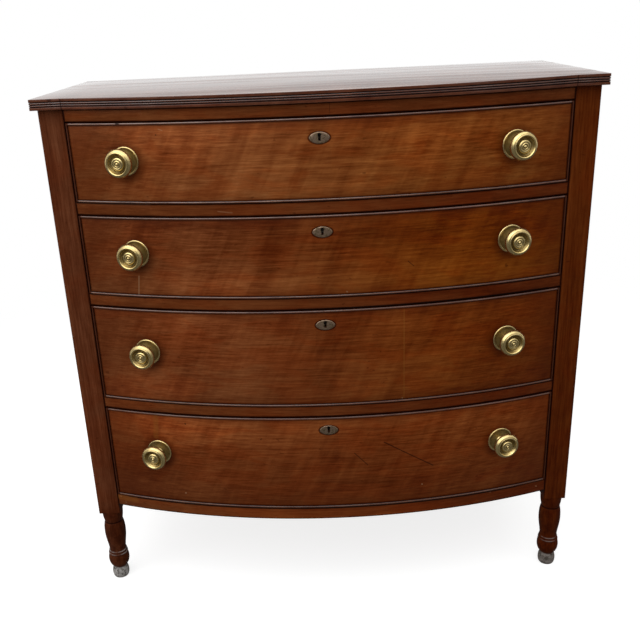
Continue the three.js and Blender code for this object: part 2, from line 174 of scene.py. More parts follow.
class Recipe:
    """The nodes of one material, or of the world."""

    def __init__(self, name: str, world: bool = False) -> None:
        """Makes an empty material or world.

        Args:
            name: its name.
            world: makes a world in place of a material.
        """
        self.holder = (bpy.data.worlds if world else bpy.data.materials).new(name)
        self.holder.use_nodes = True
        self.tree = self.holder.node_tree
        self.tree.nodes.clear()
        self.out = self.tree.nodes.new("ShaderNodeOutput" + ("World" if world else "Material"))

    def node(
        self,
        kind: str,
        settings: dict | None = None,
        sockets: dict | None = None,
        output: int | str = 0,
    ) -> Wire:
        """Adds any node but Math.

        Args:
            kind: the node's type, without its ShaderNode prefix.
            settings: properties to set first; a list of stops fills a ramp.
            sockets: values or wires, by the input's name or number.
            output: the output wanted, by its name or number.

        Returns:
            That output.
        """
        node = self.tree.nodes.new("ShaderNode" + kind)
        for key, value in (settings or {}).items():
            if key == "stops":
                self._fill_ramp(node.color_ramp, value)
            else:
                setattr(node, key, value)
        for key, value in (sockets or {}).items():
            if isinstance(value, Wire):
                self.tree.links.new(value.socket, node.inputs[key])
            else:
                node.inputs[key].default_value = value
        return Wire(self.tree, node.outputs[output])

    @staticmethod
    def _fill_ramp(ramp: bpy.types.ColorRamp, stops: Sequence[tuple[float, Colour]]) -> None:
        """Sets a ramp's stops.

        Args:
            ramp: the ramp.
            stops: a place and a colour for each stop, in order.
        """
        while len(ramp.elements) < len(stops):
            ramp.elements.new(1)
        for element, (place, colour) in zip(ramp.elements, stops):
            element.position = place
            element.color = (*colour, 1)

    def place(self) -> tuple[Wire, Wire, Wire]:
        """Splits the object coordinates.

        Returns:
            x, y and z in metres.
        """
        where = self.node("TexCoord", output="Object")
        split = self.node("SeparateXYZ", sockets={0: where})
        outputs = split.socket.node.outputs
        return tuple(Wire(self.tree, outputs[axis]) for axis in range(3))

    def noise(
        self, where: Sequence[Number], detail: float = 2, rough: float = 0.5, warp: float = 0
    ) -> Wire:
        """Smooth noise.

        Args:
            where: three places that already have their scale.
            detail: how many finer layers lie on the first.
            rough: how strong the finer layers are.
            warp: how far the pattern is pushed out of shape.

        Returns:
            Values about 0.5.
        """
        spot = self.node("CombineXYZ", sockets=dict(enumerate(where)))
        sockets = {"Vector": spot, "Scale": 1, "Detail": detail, "Roughness": rough}
        return self.node("TexNoise", sockets={**sockets, "Distortion": warp})

    def blend(
        self, share: Number, first: Wire | Colour, second: Wire | Colour, mode: str = "MIX"
    ) -> Wire:
        """Mixes two colours.

        Args:
            share: how much the second one counts, from 0 to 1.
            first: the colour below.
            second: the colour laid over it.
            mode: the node's own name for the way they mix.

        Returns:
            The mixed colour.
        """
        settings = {"data_type": "RGBA", "blend_type": mode}
        sockets = {0: share}
        for key, value in ((6, first), (7, second)):
            sockets[key] = value if isinstance(value, Wire) else (*value, 1)
        return self.node("Mix", settings, sockets, output=2)

    def bump(self, height: Wire, distance: float, strength: float) -> Wire:
        """A normal bent by a height of 0 to 1."""
        sockets = {"Height": height, "Distance": distance, "Strength": strength}
        return self.node("Bump", sockets=sockets)

    def end(self, shader: Wire) -> bpy.types.ID:
        """Joins the last shader to the output and returns the material or world."""
        self.tree.links.new(shader.socket, self.out.inputs["Surface"])
        return self.holder

    def surface(self, sockets: dict) -> bpy.types.Material:
        """Ends the recipe in a Principled shader and returns the material."""
        return self.end(self.node("BsdfPrincipled", sockets=sockets))


# Finishes
@dataclass(frozen=True)
class Scratch:
    """A straight mark on a bowed front, from one x and z to another, in metres."""

    start: tuple[float, float]
    end: tuple[float, float]
    width: float
    colour: Colour
    depth: float = 0.9
    core: float = 0.35

    def mask(self, x: Wire, z: Wire) -> Wire:
        """Where the mark lies.

        Args:
            x: place across the chest.
            z: height.

        Returns:
            The mark's depth along its middle, and 0 away from it.
        """
        run = Vector(self.end) - Vector(self.start)
        length = run.length_squared
        along = (x - self.start[0]) * (run.x / length) + (z - self.start[1]) * (run.y / length)
        held = along.math("ADD", along, 0, clamp=True)
        off_x = x - self.start[0] - held * run.x
        off_z = z - self.start[1] - held * run.y
        return off_x.reach(off_z).rise(self.width, self.width * self.core) * self.depth


@dataclass(frozen=True)
class Polished:
    """Dark reddish-brown wood under a rubbed polish.

    deepen holds the powers with which red, green and blue follow the tone. lean holds the
    cosine and the sine of the curl's tilt. shift moves one front's pattern off the others'.
    In the finishes that build on this one, a pair says where a soft step begins and where
    it is full, apart from plate_half, which is half of the key plate's size.
    """

    name: str
    grain: Grain = Grain.ACROSS
    base: Colour = (0.11, 0.028, 0.006)
    curl: float = 0.26
    streak: float = 0.14
    fibre: float = 0.42
    cloud: float = 0.2
    shift: float = 0.0
    gloss: float = 0.36
    shine: float = 0.08
    redness: float = 0.8
    red: Colour = (1.0, 0.8, 0.66)
    glint: Colour = (1, 0.65, 0.42)
    deepen: Colour = (1, 1.45, 1.8)
    lean: tuple[float, float] = (0.906, 0.423)
    flatten: float = 0.3
    pore: float = 0.12 * MM
    marks: tuple[Scratch, ...] = ()

    def shade(self, share: float) -> Colour:
        """The base made lighter or darker; darker wood is redder and richer."""
        return tuple(value * share**power for value, power in zip(self.base, self.deepen))

    def tone(self, recipe: Recipe, x: Wire, y: Wire, z: Wire) -> tuple[Wire, Wire]:
        """Light and dark of the wood.

        Args:
            recipe: the material in hand.
            x: place across the chest.
            y: place from front to back.
            z: height.

        Returns:
            The tone and the fine fibre pattern, each about 0.5.
        """
        run, side, through = self.grain.turn(x, y, z)
        if self.grain is Grain.ACROSS:
            side = side * self.flatten
        fibre = recipe.noise((run * 14, side * 270, through * 270), 6, 0.78, 0.15)
        streak = recipe.noise((run * 1.8, side * 55, through * 55), 3, 0.55, 0.3)
        cloud = recipe.noise((run * 2.6, side * 5 + self.shift, through * 6), 2, 0.5)
        cosine, sine = self.lean
        lean = run * cosine - through * sine
        rest = run * sine + through * cosine
        curl = recipe.noise((lean * 24, side * 24 + self.shift, rest * 4.5), 3, 0.5, 0.5)
        ripple = recipe.noise((lean * 95, side * 95, rest * 14), 2, 0.5, 0.4)
        tone = (
            0.5
            + (cloud - 0.5) * (2 * self.cloud)
            + (curl - 0.5) * (2 * self.curl)
            + (ripple - 0.5) * (0.8 * self.curl)
            + (streak - 0.5) * (2 * self.streak)
            + (fibre - 0.5) * (2 * self.fibre)
        )
        return tone, fibre

    def colour(self, recipe: Recipe, tone: Wire, x: Wire, y: Wire, z: Wire) -> Wire:
        """The wood's colour, redder in some patches than in others.

        Args:
            recipe: the material in hand.
            tone: light and dark, from 0 to 1.
            x: place across the chest.
            y: place from front to back.
            z: height.

        Returns:
            The colour.
        """
        shares = ((0.05, 0.3), (0.3, 0.62), (0.5, 1.0), (0.7, 1.42), (0.95, 2.0))
        stops = [(place, self.shade(share)) for place, share in shares]
        colour = recipe.node("ValToRGB", {"stops": stops}, {0: tone})
        run, side, through = self.grain.turn(x, y, z)
        red = recipe.noise((run * 9 + self.shift, side * 8, through * 24), 3, 0.6, 0.6)
        return recipe.blend(red.rise(0.42, 0.6) * self.redness, colour, self.red, "MULTIPLY")

    def make(self) -> bpy.types.Material:
        """Lays colour, age, marks and polish over each other.

        Returns:
            The finished material.
        """
        recipe = Recipe(self.name)
        x, y, z = recipe.place()
        tone, fibre = self.tone(recipe, x, y, z)
        colour = self.age(recipe, self.colour(recipe, tone, x, y, z), x, y, z)
        for mark in self.marks:
            colour = recipe.blend(mark.mask(x, z), colour, mark.colour)
        rub = recipe.noise((x * 14, y * 14, z * 14), 3, 0.6)
        rough = self.gloss + (rub - 0.5) * 0.16 + (fibre - 0.5) * 0.06
        normal = recipe.bump(fibre, self.pore, 0.5)
        return recipe.surface(
            {
                "Base Color": colour,
                "Roughness": rough,
                "Normal": normal,
                "Specular IOR Level": self.shine,
                "Specular Tint": (*self.glint, 1),
            }
        )

    def age(self, recipe: Recipe, colour: Wire, x: Wire, y: Wire, z: Wire) -> Wire:
        """Small dark specks and dents of long use."""
        spots = recipe.noise((x * 70, y * 70, z * 150), 1, 0.4)
        return recipe.blend(spots.rise(0.73, 0.8) * 0.5, colour, self.shade(0.35))


@dataclass(frozen=True)
class Patch:
    """A soft-edged place on a front, painted paler or darker.

    Its middle is at x and at a share of the front's height; tall is a share too. The colour
    is multiplied by light.
    """

    x: float
    share: float
    wide: float
    tall: float
    light: float

    def mask(self, x: Wire, rise: Wire) -> Wire:
        """Where the patch lies.

        Args:
            x: place across the chest.
            rise: share of the front's height.

        Returns:
            1 in the patch's middle and 0 at its edge.
        """
        along = (x - self.x) / self.wide
        up = (rise - self.share) / self.tall
        return along.reach(up).rise(1.0, 0.15)


@dataclass(frozen=True)
class FrontVeneer(Polished):
    """Curly wood of one drawer front, darker towards its edges."""

    low: float = 0.0
    high: float = 1.0
    half: float = 466 * MM
    plate: float = 0.5
    plate_half: tuple[float, float] = (19 * MM, 10.8 * MM)
    knob_x: float = 356 * MM
    knob_z: float = 0.5
    knob_shadow_drop: float = 3 * MM
    knob_dirt_and_shadow: tuple[float, float] = (45 * MM, 24 * MM)
    dark_left: float = 150 * MM
    dark_right: float = 110 * MM
    dark_edge: tuple[float, float] = (30 * MM, 2 * MM)
    bead_dirt_and_shadow: tuple[float, float] = (8 * MM, 4.2 * MM)
    sink: float = 0.0
    lift: float = 0.0
    right_shade_tint: Colour = (1.0, 0.86, 0.5)
    right_shade_x: tuple[float, float] = (-0.28, 0.28)
    plate_shadow: tuple[float, float] = (1.17, 1.04)
    wander: float = 26 * MM
    patches: tuple[Patch, ...] = ()

    def tone(self, recipe: Recipe, x: Wire, y: Wire, z: Wire) -> tuple[Wire, Wire]:
        """The wood's light and dark, lighter low down on some fronts."""
        tone, fibre = Polished.tone(self, recipe, x, y, z)
        return tone + (z.rise(self.high, self.low) - 0.5) * self.lift, fibre

    def age(self, recipe: Recipe, colour: Wire, x: Wire, y: Wire, z: Wire) -> Wire:
        """Adds specks, painted shade on the right, paler and darker patches, dark edges, and dirt
        with painted shadow along the beads and round the brasses.

        Args:
            recipe: the material in hand.
            colour: the clean wood's colour.
            x: place across the chest.
            y: place from front to back.
            z: height.

        Returns:
            The aged colour.
        """
        colour = Polished.age(self, recipe, colour, x, y, z)
        # Painted shade: towards the right, where less light falls, the front is made redder and
        # richer.
        colour = recipe.blend(x.rise(*self.right_shade_x), colour, self.right_shade_tint, "MULTIPLY")
        wobble = (recipe.noise((x * 11, y * 3, z * 30), 3, 0.6) - 0.5) * self.wander
        rise = (z - self.low) / (self.high - self.low) + wobble * 4
        for patch in self.patches:
            light = (patch.light,) * 3
            colour = recipe.blend(patch.mask(x + wobble, rise), colour, light, "MULTIPLY")
        to_left = (x + self.half + wobble).rise(self.dark_left, 0)
        to_right = (self.half - x + wobble).rise(self.dark_right, 0)
        inside = (z - self.low).least(self.high - z)
        to_edge = (inside + wobble * 0.4).rise(*self.dark_edge) * 0.6
        dark = to_left.most(to_right).most(to_edge)
        colour = recipe.blend(dark * 0.52, colour, self.shade(0.45))
        below = (z + wobble).rise(self.high, self.low) * self.sink
        colour = recipe.blend(below, colour, self.shade(0.4))
        # Dirt and painted shadow on the face along the inside of the bead.
        inner = (self.half - x.size()).least(inside)
        bead_dirt_and_shadow = (inner + wobble * 0.05).rise(*self.bead_dirt_and_shadow)
        # Painted shadow of the key plate's recess: a dark ring just outside the plate.
        wide = x / self.plate_half[0]
        tall = (z - self.plate) / self.plate_half[1]
        plate_shadow = wide.reach(tall).rise(*self.plate_shadow) * 0.85
        colour = recipe.blend((bead_dirt_and_shadow * 0.75).most(plate_shadow), colour, self.shade(0.2))
        # Dirt and painted shadow round each knob's rose, centred a little low so the shadow falls
        # below it.
        aside = x.size() - self.knob_x
        far = aside.reach(z - (self.knob_z - self.knob_shadow_drop)) + wobble * 0.25
        return recipe.blend(far.rise(*self.knob_dirt_and_shadow) * 0.6, colour, self.shade(0.22))


@dataclass(frozen=True)
class RailPolish(Polished):
    """The front rails' wood, with dirt and painted shadow gathered at every rail's edges."""

    inner: float = 468 * MM
    edges: tuple[float, ...] = ()
    shade_tint: Colour = (0.8, 0.6, 0.47)
    paler: Colour = (1.5, 1.45, 1.3)
    shaded_x: tuple[float, float] = (-0.15, 0.35)
    shaded_z: tuple[float, float] = (0.95, 1.03)
    rubbed_x: tuple[float, float] = (0.34, 0.1)
    rubbed_z: tuple[float, float] = (0.26, 0.23)
    edge_dirt_and_shade: tuple[float, float] = (3.4 * MM, 0.9 * MM)
    wander: float = 1.6 * MM

    def age(self, recipe: Recipe, colour: Wire, x: Wire, y: Wire, z: Wire) -> Wire:
        """Adds specks, painted shade on the right, a rubbed bottom rail, and dark lines of dirt
        and painted shadow at the edges.

        Args:
            recipe: the material in hand.
            colour: the clean wood's colour.
            x: place across the chest.
            y: place from front to back.
            z: height.

        Returns:
            The aged colour.
        """
        colour = Polished.age(self, recipe, colour, x, y, z)
        # Painted shade: towards the right, where less light falls, the rails are made darker and
        # redder, less so on the top rail.
        shaded = x.rise(*self.shaded_x) * (1 - z.rise(*self.shaded_z) * 0.6)
        colour = recipe.blend(shaded, colour, self.shade_tint, "MULTIPLY")
        rubbed = x.size().rise(*self.rubbed_x) * z.rise(*self.rubbed_z)
        colour = recipe.blend(rubbed, colour, self.paler, "MULTIPLY")
        # Dirt and painted shadow in the gaps along every rail's edges and ends.
        near = x.size().off(self.inner).least(z.off(*self.edges))
        wobble = (recipe.noise((x * 40, y * 4, z * 90), 3, 0.6) - 0.5) * self.wander
        dirt_and_shade = (near + wobble).rise(*self.edge_dirt_and_shade) * 0.94
        return recipe.blend(dirt_and_shade, colour, self.shade(0.08))


@dataclass(frozen=True)
class TopPolish(Polished):
    """The top's wood, whose worn gloss mirrors whatever is bright.

    bend is the bow's depth over the square of its half width, both in metres. skin holds
    depths under the board's upper face.
    """

    surface_z: float = 1.0
    seam: float = 468 * MM
    bend: float = 0.081 / 0.219
    seam_edge: tuple[float, float] = (1.6 * MM, 0.5 * MM)
    groove_shade_edge: tuple[float, float] = (1.4 * MM, 0.75 * MM)
    reed_edge: tuple[float, float] = (5.2 * MM, 3.8 * MM)
    skin: tuple[float, float] = (0.6 * MM, 0.1 * MM)
    reflection_y: tuple[float, float] = (-0.19, -0.26)
    reflection_rear: Colour = (0.5, 0.45, 0.42)
    reflection_front: Colour = (0.66, 0.5, 0.42)
    coat_gloss: float = 0.13
    coat_shine: float = 1.85
    grooves: tuple[float, ...] = ()

    def make(self) -> bpy.types.Material:
        """Makes the top glossy, with a painted pale reflection, and painted shade in the reeds'
        grooves.

        Returns:
            The finished material.
        """
        recipe = Recipe(self.name)
        x, y, z = recipe.place()
        tone, fibre = self.tone(recipe, x, y, z)
        colour = self.colour(recipe, tone, x, y, z)
        nick = recipe.noise((x * 30, y * 30, z * 25), 2, 0.6).rise(0.68, 0.76)
        seam = x.size().off(self.seam).rise(*self.seam_edge) * 0.8
        # Painted shade in the reeds' grooves, together with dark nicks and seam lines.
        groove_shade_and_marks = z.off(*self.grooves).rise(*self.groove_shade_edge).most(nick * 0.7).most(seam)
        level = z.rise(*(self.surface_z - depth for depth in self.skin))
        groove_shade_and_marks = groove_shade_and_marks * (1 - level)
        colour = recipe.blend(groove_shade_and_marks * 0.96, colour, self.shade(0.05))
        worn = recipe.noise((x * 0.8, y * 17 + x * 0.6, z), 4, 0.6, 0.4)
        fine = recipe.noise((x * 3, y * 90, z), 3, 0.6, 0.2)
        dull = (worn * 0.75 + fine * 0.25).rise(0.46, 0.6) * level
        # Painted reflection: a pale tint over the polished face, stronger towards the front and
        # weaker where the polish is dull.
        near_front = (y + x * x * self.bend).rise(*self.reflection_y)
        bloom = level * (0.09 + near_front * 0.2 - dull * 0.05)
        haze = recipe.blend(near_front * 0.7, self.reflection_rear, self.reflection_front)
        colour = recipe.blend(bloom, colour, haze)
        rough = self.gloss + (fibre - 0.5) * 0.08 + dull * 0.1 + groove_shade_and_marks * 0.5
        centre = (self.grooves[0] + self.grooves[-1]) / 2
        reeded = z.off(centre).rise(*self.reed_edge)
        rubbed = (1 - level) * (1 - groove_shade_and_marks) * (0.22 + reeded * 0.75)
        normal = recipe.bump(worn * 0.5 + fine * 0.5, self.pore, 0.4)
        return recipe.surface(
            {
                "Base Color": colour,
                "Roughness": rough,
                "Normal": normal,
                "Specular IOR Level": self.shine,
                "Coat Weight": level * (1 - dull * 0.3) + rubbed,
                "Coat Roughness": self.coat_gloss,
                "Coat IOR": self.coat_shine,
            }
        )


@dataclass(frozen=True)
class BeadPolish(Polished):
    """Beads rubbed bright along their ridge with a painted highlight, and dark on their flanks
    with dirt and painted shade.
    """

    half: float = 466 * MM
    pore: float = 0.08 * MM
    upright_shade_in: tuple[float, float] = (6 * MM, 4 * MM)
    coat_gloss: float = 0.2
    coat_shine: float = 2.1

    def make(self) -> bpy.types.Material:
        """Makes the ridge bright with worn polish and a painted highlight, and the flanks dark
        with dirt and painted shade.

        Returns:
            The finished material.
        """
        recipe = Recipe(self.name)
        x, y, z = recipe.place()
        tone, fibre = self.tone(recipe, x, y, z)
        ridge = recipe.node("Attribute", {"attribute_name": "ridge"}, output="Fac")
        # Painted shade: the upright strips, which catch no light from above, are darker and less
        # glossy.
        upright = x.size().rise(*(self.half - inset for inset in self.upright_shade_in))
        worn = recipe.noise((x * 22, y * 22, z * 60), 3, 0.6)
        rubbed_and_highlit = ridge * (0.65 + worn.rise(0.3, 0.6) * 0.35)
        wood = self.colour(recipe, tone, x, y, z)
        wood = recipe.blend(upright * 0.8, wood, self.shade(0.35))
        # Painted highlight on the rubbed ridge; dirt and painted shade on the flanks.
        colour = recipe.blend(rubbed_and_highlit, self.shade(0.12), wood)
        for mark in self.marks:
            shown = mark.mask(x, z)
            colour = recipe.blend(shown, colour, mark.colour)
            rubbed_and_highlit = rubbed_and_highlit * (1 - shown)
        return recipe.surface(
            {
                "Base Color": colour,
                "Roughness": 0.45 + (fibre - 0.5) * 0.1,
                "Normal": recipe.bump(fibre, self.pore, 0.4),
                "Specular IOR Level": self.shine,
                "Coat Weight": rubbed_and_highlit * (1 - upright * 0.9) * 0.95,
                "Coat Roughness": self.coat_gloss,
                "Coat IOR": self.coat_shine,
            }
        )


@dataclass(frozen=True)
class LegPolish(Polished):
    """The posts' wood, dark below, whose toes have worn bare and grey on the floor."""

    toe_top: float = 28 * MM
    shoulder: float = 181 * MM
    inner: float = 468 * MM
    top: float = 1052.9 * MM
    bare: Colour = (0.3, 0.28, 0.25)
    grime: Colour = (0.07, 0.06, 0.05)
    rings: tuple[float, ...] = (72.7 * MM, 66.2 * MM)
    neck: float = 150.8 * MM
    rail_foot: float = 204 * MM
    leg_dark: float = 0.5
    fade: tuple[float, float] = (60 * MM, 30 * MM)
    fade_wander: float = 60 * MM
    overhang_shadow: float = 40 * MM
    seam_edge: tuple[float, float] = (3.0 * MM, 0.8 * MM)
    ring_edge: tuple[float, float] = (1.5 * MM, 0.4 * MM)
    neck_shade_edge: tuple[float, float] = (2.2 * MM, 0.9 * MM)
    toe_edge: float = 1.5 * MM
    toe_wander: float = 6 * MM

    def age(self, recipe: Recipe, colour: Wire, x: Wire, y: Wire, z: Wire) -> Wire:
        """Adds specks, dark legs and seams, painted shade under the top and in the necks, pale
        rings of wear and painted highlight, and pale mottled toes.

        Args:
            recipe: the material in hand.
            colour: the clean wood's colour.
            x: place across the chest.
            y: place from front to back.
            z: height.

        Returns:
            The aged colour.
        """
        colour = Polished.age(self, recipe, colour, x, y, z)
        along = recipe.noise((x * 30, y * 30, z * 12), 3, 0.6)
        wavy = z + (along - 0.5) * self.fade_wander
        above, below = self.fade
        low = wavy.rise(self.shoulder + above, self.shoulder - below)
        blotch = recipe.noise((x * 90, y * 90, z * 60), 3, 0.65).rise(0.4, 0.62)
        colour = recipe.blend(low * (self.leg_dark + blotch * 0.36), colour, self.shade(0.3))
        # Painted shadow under the top's overhang, at the head of each post.
        under = z.rise(self.top - self.overhang_shadow, self.top)
        colour = recipe.blend(under * 0.5, colour, self.shade(0.35))
        seam = x.size().off(self.inner).rise(*self.seam_edge)
        seam = seam * z.rise(self.shoulder, self.rail_foot)
        colour = recipe.blend(seam * 0.9, colour, self.shade(0.12))
        # Pale rings: wear and a painted highlight on the ring beads.
        rubbed = z.off(*self.rings).rise(*self.ring_edge) * along.rise(0.34, 0.54)
        colour = recipe.blend(rubbed * 0.5, colour, self.bare)
        # Painted shade in the groove at the neck.
        neck = z.off(self.neck).rise(*self.neck_shade_edge)
        colour = recipe.blend(neck * 0.85, colour, self.shade(0.1))
        mottle = recipe.noise((x * 130, y * 130, z * 150), 4, 0.7, 0.4)
        toe = recipe.blend(mottle.rise(0.4, 0.66), self.bare, self.grime)
        edge = z + (recipe.noise((x * 60, y * 60, z * 60)) - 0.5) * self.toe_wander
        worn = edge.rise(self.toe_top + self.toe_edge, self.toe_top - self.toe_edge)
        return recipe.blend(worn, colour, toe)


@dataclass(frozen=True)
class Bare:
    """Planed and unpolished wood inside the chest."""

    name: str
    grain: Grain = Grain.ACROSS
    dark: Colour = (0.22, 0.112, 0.045)
    body: Colour = (0.41, 0.245, 0.112)
    pale: Colour = (0.53, 0.335, 0.165)
    pore: float = 0.25 * MM

    def make(self) -> bpy.types.Material:
        """Lays rings, fibres and stains over each other.

        Returns:
            The finished material.
        """
        recipe = Recipe(self.name)
        x, y, z = recipe.place()
        run, side, through = self.grain.turn(x, y, z)
        fibre = recipe.noise((run * 8, side * 420, through * 420), 3, 0.6)
        ring = recipe.noise((run * 1.1, side * 26, through * 26), 3, 0.55, 0.4)
        cloud = recipe.noise((x * 4, y * 4, z * 4))
        tone = 0.5 + (ring - 0.5) * 0.9 + (fibre - 0.5) * 0.35 + (cloud - 0.5) * 0.4
        stops = [(0.15, self.dark), (0.5, self.body), (0.85, self.pale)]
        colour = recipe.node("ValToRGB", {"stops": stops}, {0: tone})
        stain = recipe.noise((x * 9, y * 9, z * 9), 3, 0.6).rise(0.58, 0.78)
        colour = recipe.blend(stain * 0.35, colour, self.dark)
        normal = recipe.bump(fibre, self.pore, 0.5)
        return recipe.surface(
            {
                "Base Color": colour,
                "Roughness": 0.66 + (fibre - 0.5) * 0.1,
                "Normal": normal,
                "Specular IOR Level": 0.15,
            }
        )


@dataclass(frozen=True)
class Metal:
    """Brass or iron, with dirt and painted shade where the piece's own attribute says so."""

    name: str
    bright: Colour
    dull: Colour
    dirt_and_shade: Colour
    gloss: float
    patina: float
    lumps: float = 0.0
    pits: float = 0.012
    mottle: float = 110
    metallic: float = 1.0

    def make(self) -> bpy.types.Material:
        """Lays tarnish, and dirt with painted shade, over the bright metal.

        Returns:
            The finished material.
        """
        recipe = Recipe(self.name)
        x, y, z = recipe.place()
        size = self.mottle
        haze = recipe.noise((x * size, y * size, z * size), 4, 0.65, 0.3)
        fine = recipe.noise((x * 700, y * 700, z * 700), 2, 0.6)
        bloom = haze.rise(0.42, 0.7) * self.patina
        tarnish = (bloom + fine.rise(0.55, 0.8) * (self.patina * 0.4)).least(1)
        colour = recipe.blend(tarnish, self.bright, self.dull)
        # Dirt and painted shade: patina with shade in the knobs' hollows, the heads' shadow on the
        # roses, and shade in the key plates' holes and at their rims.
        grime = recipe.node("Attribute", {"attribute_name": "dirt_and_shade"}, output="Fac")
        colour = recipe.blend((grime * (0.9 + (haze - 0.5) * 0.6)).least(1), colour, self.dirt_and_shade)
        rough = self.gloss + tarnish * 0.22 + grime * 0.25 + (fine - 0.5) * 0.05
        normal = recipe.bump(haze * 0.6 + fine * 0.4, (self.pits + self.lumps) * MM, 0.5)
        return recipe.surface(
            {
                "Base Color": colour,
                "Metallic": self.metallic - grime.rise(0.6, 1) * 0.3,
                "Roughness": rough,
                "Normal": normal,
            }
        )


# Mesh tools
Move = Callable[[Vector], Vector]
Turning = tuple[float, float, float]


def new_edges(made: Iterable, points: set) -> list:
    """The edges among made whose two ends are both in points."""
    edges = (item for item in made if isinstance(item, bmesh.types.BMEdge))
    return [edge for edge in edges if all(vert in points for vert in edge.verts)]


def grow(bm: bmesh.types.BMesh, edges: list, move: Move) -> list:
    """Extrudes a chain of edges and moves its new points.

    Args:
        bm: the mesh.
        edges: the chain to extrude.
        move: gives the new place of a point.

    Returns:
        The new chain.
    """
    made = bmesh.ops.extrude_edge_only(bm, edges=edges)["geom"]
    points = {item for item in made if isinstance(item, bmesh.types.BMVert)}
    for vert in points:
        vert.co = move(vert.co)
    return new_edges(made, points)


def edges_at(verts: Iterable) -> list:
    """The edges that meet in some points, each once."""
    return list({edge for vert in verts for edge in vert.link_edges})


def circle(bm: bmesh.types.BMesh, radius: float, steps: int, spot: Matrix) -> list:
    """Adds a ring of edges with no face and returns its points."""
    made = bmesh.ops.create_circle(bm, cap_ends=False, radius=radius, segments=steps, matrix=spot)
    return made["verts"]


def sheet(bm: bmesh.types.BMesh, half_x: float, half_y: float, spot: Matrix) -> None:
    """Adds a flat rectangle."""
    size = spot @ Matrix.Diagonal((half_x, half_y, 1, 1))
    bmesh.ops.create_grid(bm, x_segments=1, y_segments=1, size=1, matrix=size)


def ring_of(bm: bmesh.types.BMesh, half_x: float, half_y: float, spot: Matrix) -> list:
    """Adds a flat rectangle's four edges, with no face.

    Args:
        bm: the mesh, still empty.
        half_x: half of its length.
        half_y: half of its width.
        spot: its place and turn.

    Returns:
        The four edges.
    """
    sheet(bm, half_x, half_y, spot)
    bmesh.ops.delete(bm, geom=bm.faces[:], context="FACES_ONLY")
    return bm.edges[:]


def cap(bm: bmesh.types.BMesh, edges: list) -> None:
    """Closes a flat ring with one face."""
    bmesh.ops.contextual_create(bm, geom=edges)


def slice_along(bm: bmesh.types.BMesh, axis: int, places: Iterable[float]) -> None:
    """Cuts new edge rings through the whole mesh.

    Args:
        bm: the mesh.
        axis: 0, 1 or 2 for x, y or z.
        places: where each cut lies on that axis.
    """
    normal = Vector((0, 0, 0))
    normal[axis] = 1
    for place in places:
        spot = Vector((0, 0, 0))
        spot[axis] = place
        geom = bm.verts[:] + bm.edges[:] + bm.faces[:]
        bmesh.ops.bisect_plane(bm, geom=geom, plane_co=spot, plane_no=normal)


def block(bm: bmesh.types.BMesh, low: Vector, high: Vector) -> list:
    """Adds a box between two corners and returns its points."""
    size = Matrix.Translation((low + high) / 2) @ Matrix.Diagonal((*(high - low), 1))
    return bmesh.ops.create_cube(bm, size=1, matrix=size)["verts"]


def stud(
    bm: bmesh.types.BMesh, spot: Matrix, base: float, top: float, height: float, steps: int
) -> None:
    """Adds a short round stud.

    Args:
        bm: the mesh.
        spot: its middle and turn.
        base: radius of its lower end.
        top: radius of its upper end.
        height: its length.
        steps: how many sides it has.
    """
    bmesh.ops.create_cone(
        bm, cap_ends=True, segments=steps, radius1=base, radius2=top, depth=height, matrix=spot
    )


def soften(bm: bmesh.types.BMesh, edges: list, width: float, segments: int = 2) -> None:
    """Rounds edges off.

    Args:
        bm: the mesh.
        edges: the edges.
        width: how far either side is cut back.
        segments: how many faces make the round.
    """
    bmesh.ops.bevel(
        bm, geom=edges, offset=width, segments=segments, profile=0.5, affect="EDGES", material=-1
    )


def turned(bm: bmesh.types.BMesh, profile: Sequence[Turning], steps: int) -> None:
    """Spins a profile about the Z axis.

    Args:
        bm: the mesh, still empty.
        profile: radius, height, and dirt with painted shade, of each point.
        steps: how many sides a full turn has.
    """
    dirt_and_shade = bm.verts.layers.float.new("dirt_and_shade")
    verts = []
    for radius, height, grime in profile:
        vert = bmesh.ops.create_vert(bm, co=(radius, 0, height))["vert"][0]
        vert[dirt_and_shade] = grime
        verts.append(vert)
    for first, second in zip(verts, verts[1:]):
        bmesh.ops.contextual_create(bm, geom=[first, second])
    geom = bm.verts[:] + bm.edges[:]
    bmesh.ops.spin(
        bm, geom=geom, axis=(0, 0, 1), cent=(0, 0, 0), angle=FULL_TURN, steps=steps, use_merge=True
    )
    bmesh.ops.remove_doubles(bm, verts=bm.verts[:], dist=MERGE)
    bmesh.ops.recalc_face_normals(bm, faces=bm.faces[:])


def as_mesh(name: str, bm: bmesh.types.BMesh) -> bpy.types.Mesh:
    """Turns a working mesh into a named one.

    Args:
        name: the new mesh's name.
        bm: the working mesh, which is freed.

    Returns:
        The new mesh.
    """
    mesh = bpy.data.meshes.new(name)
    bm.to_mesh(mesh)
    bm.free()
    return mesh


def show(name: str, data: bpy.types.ID) -> bpy.types.Object:
    """Puts a mesh, a lamp or a camera into the scene.

    Args:
        name: the object's name.
        data: the mesh, lamp or camera.

    Returns:
        The object.
    """
    thing = bpy.data.objects.new(name, data)
    bpy.context.scene.collection.objects.link(thing)
    return thing


def as_cutter(bm: bmesh.types.BMesh) -> bpy.types.Object:
    """Turns a closed mesh into an object to cut with."""
    bmesh.ops.recalc_face_normals(bm, faces=bm.faces[:])
    return show("cutter", as_mesh("cutter", bm))


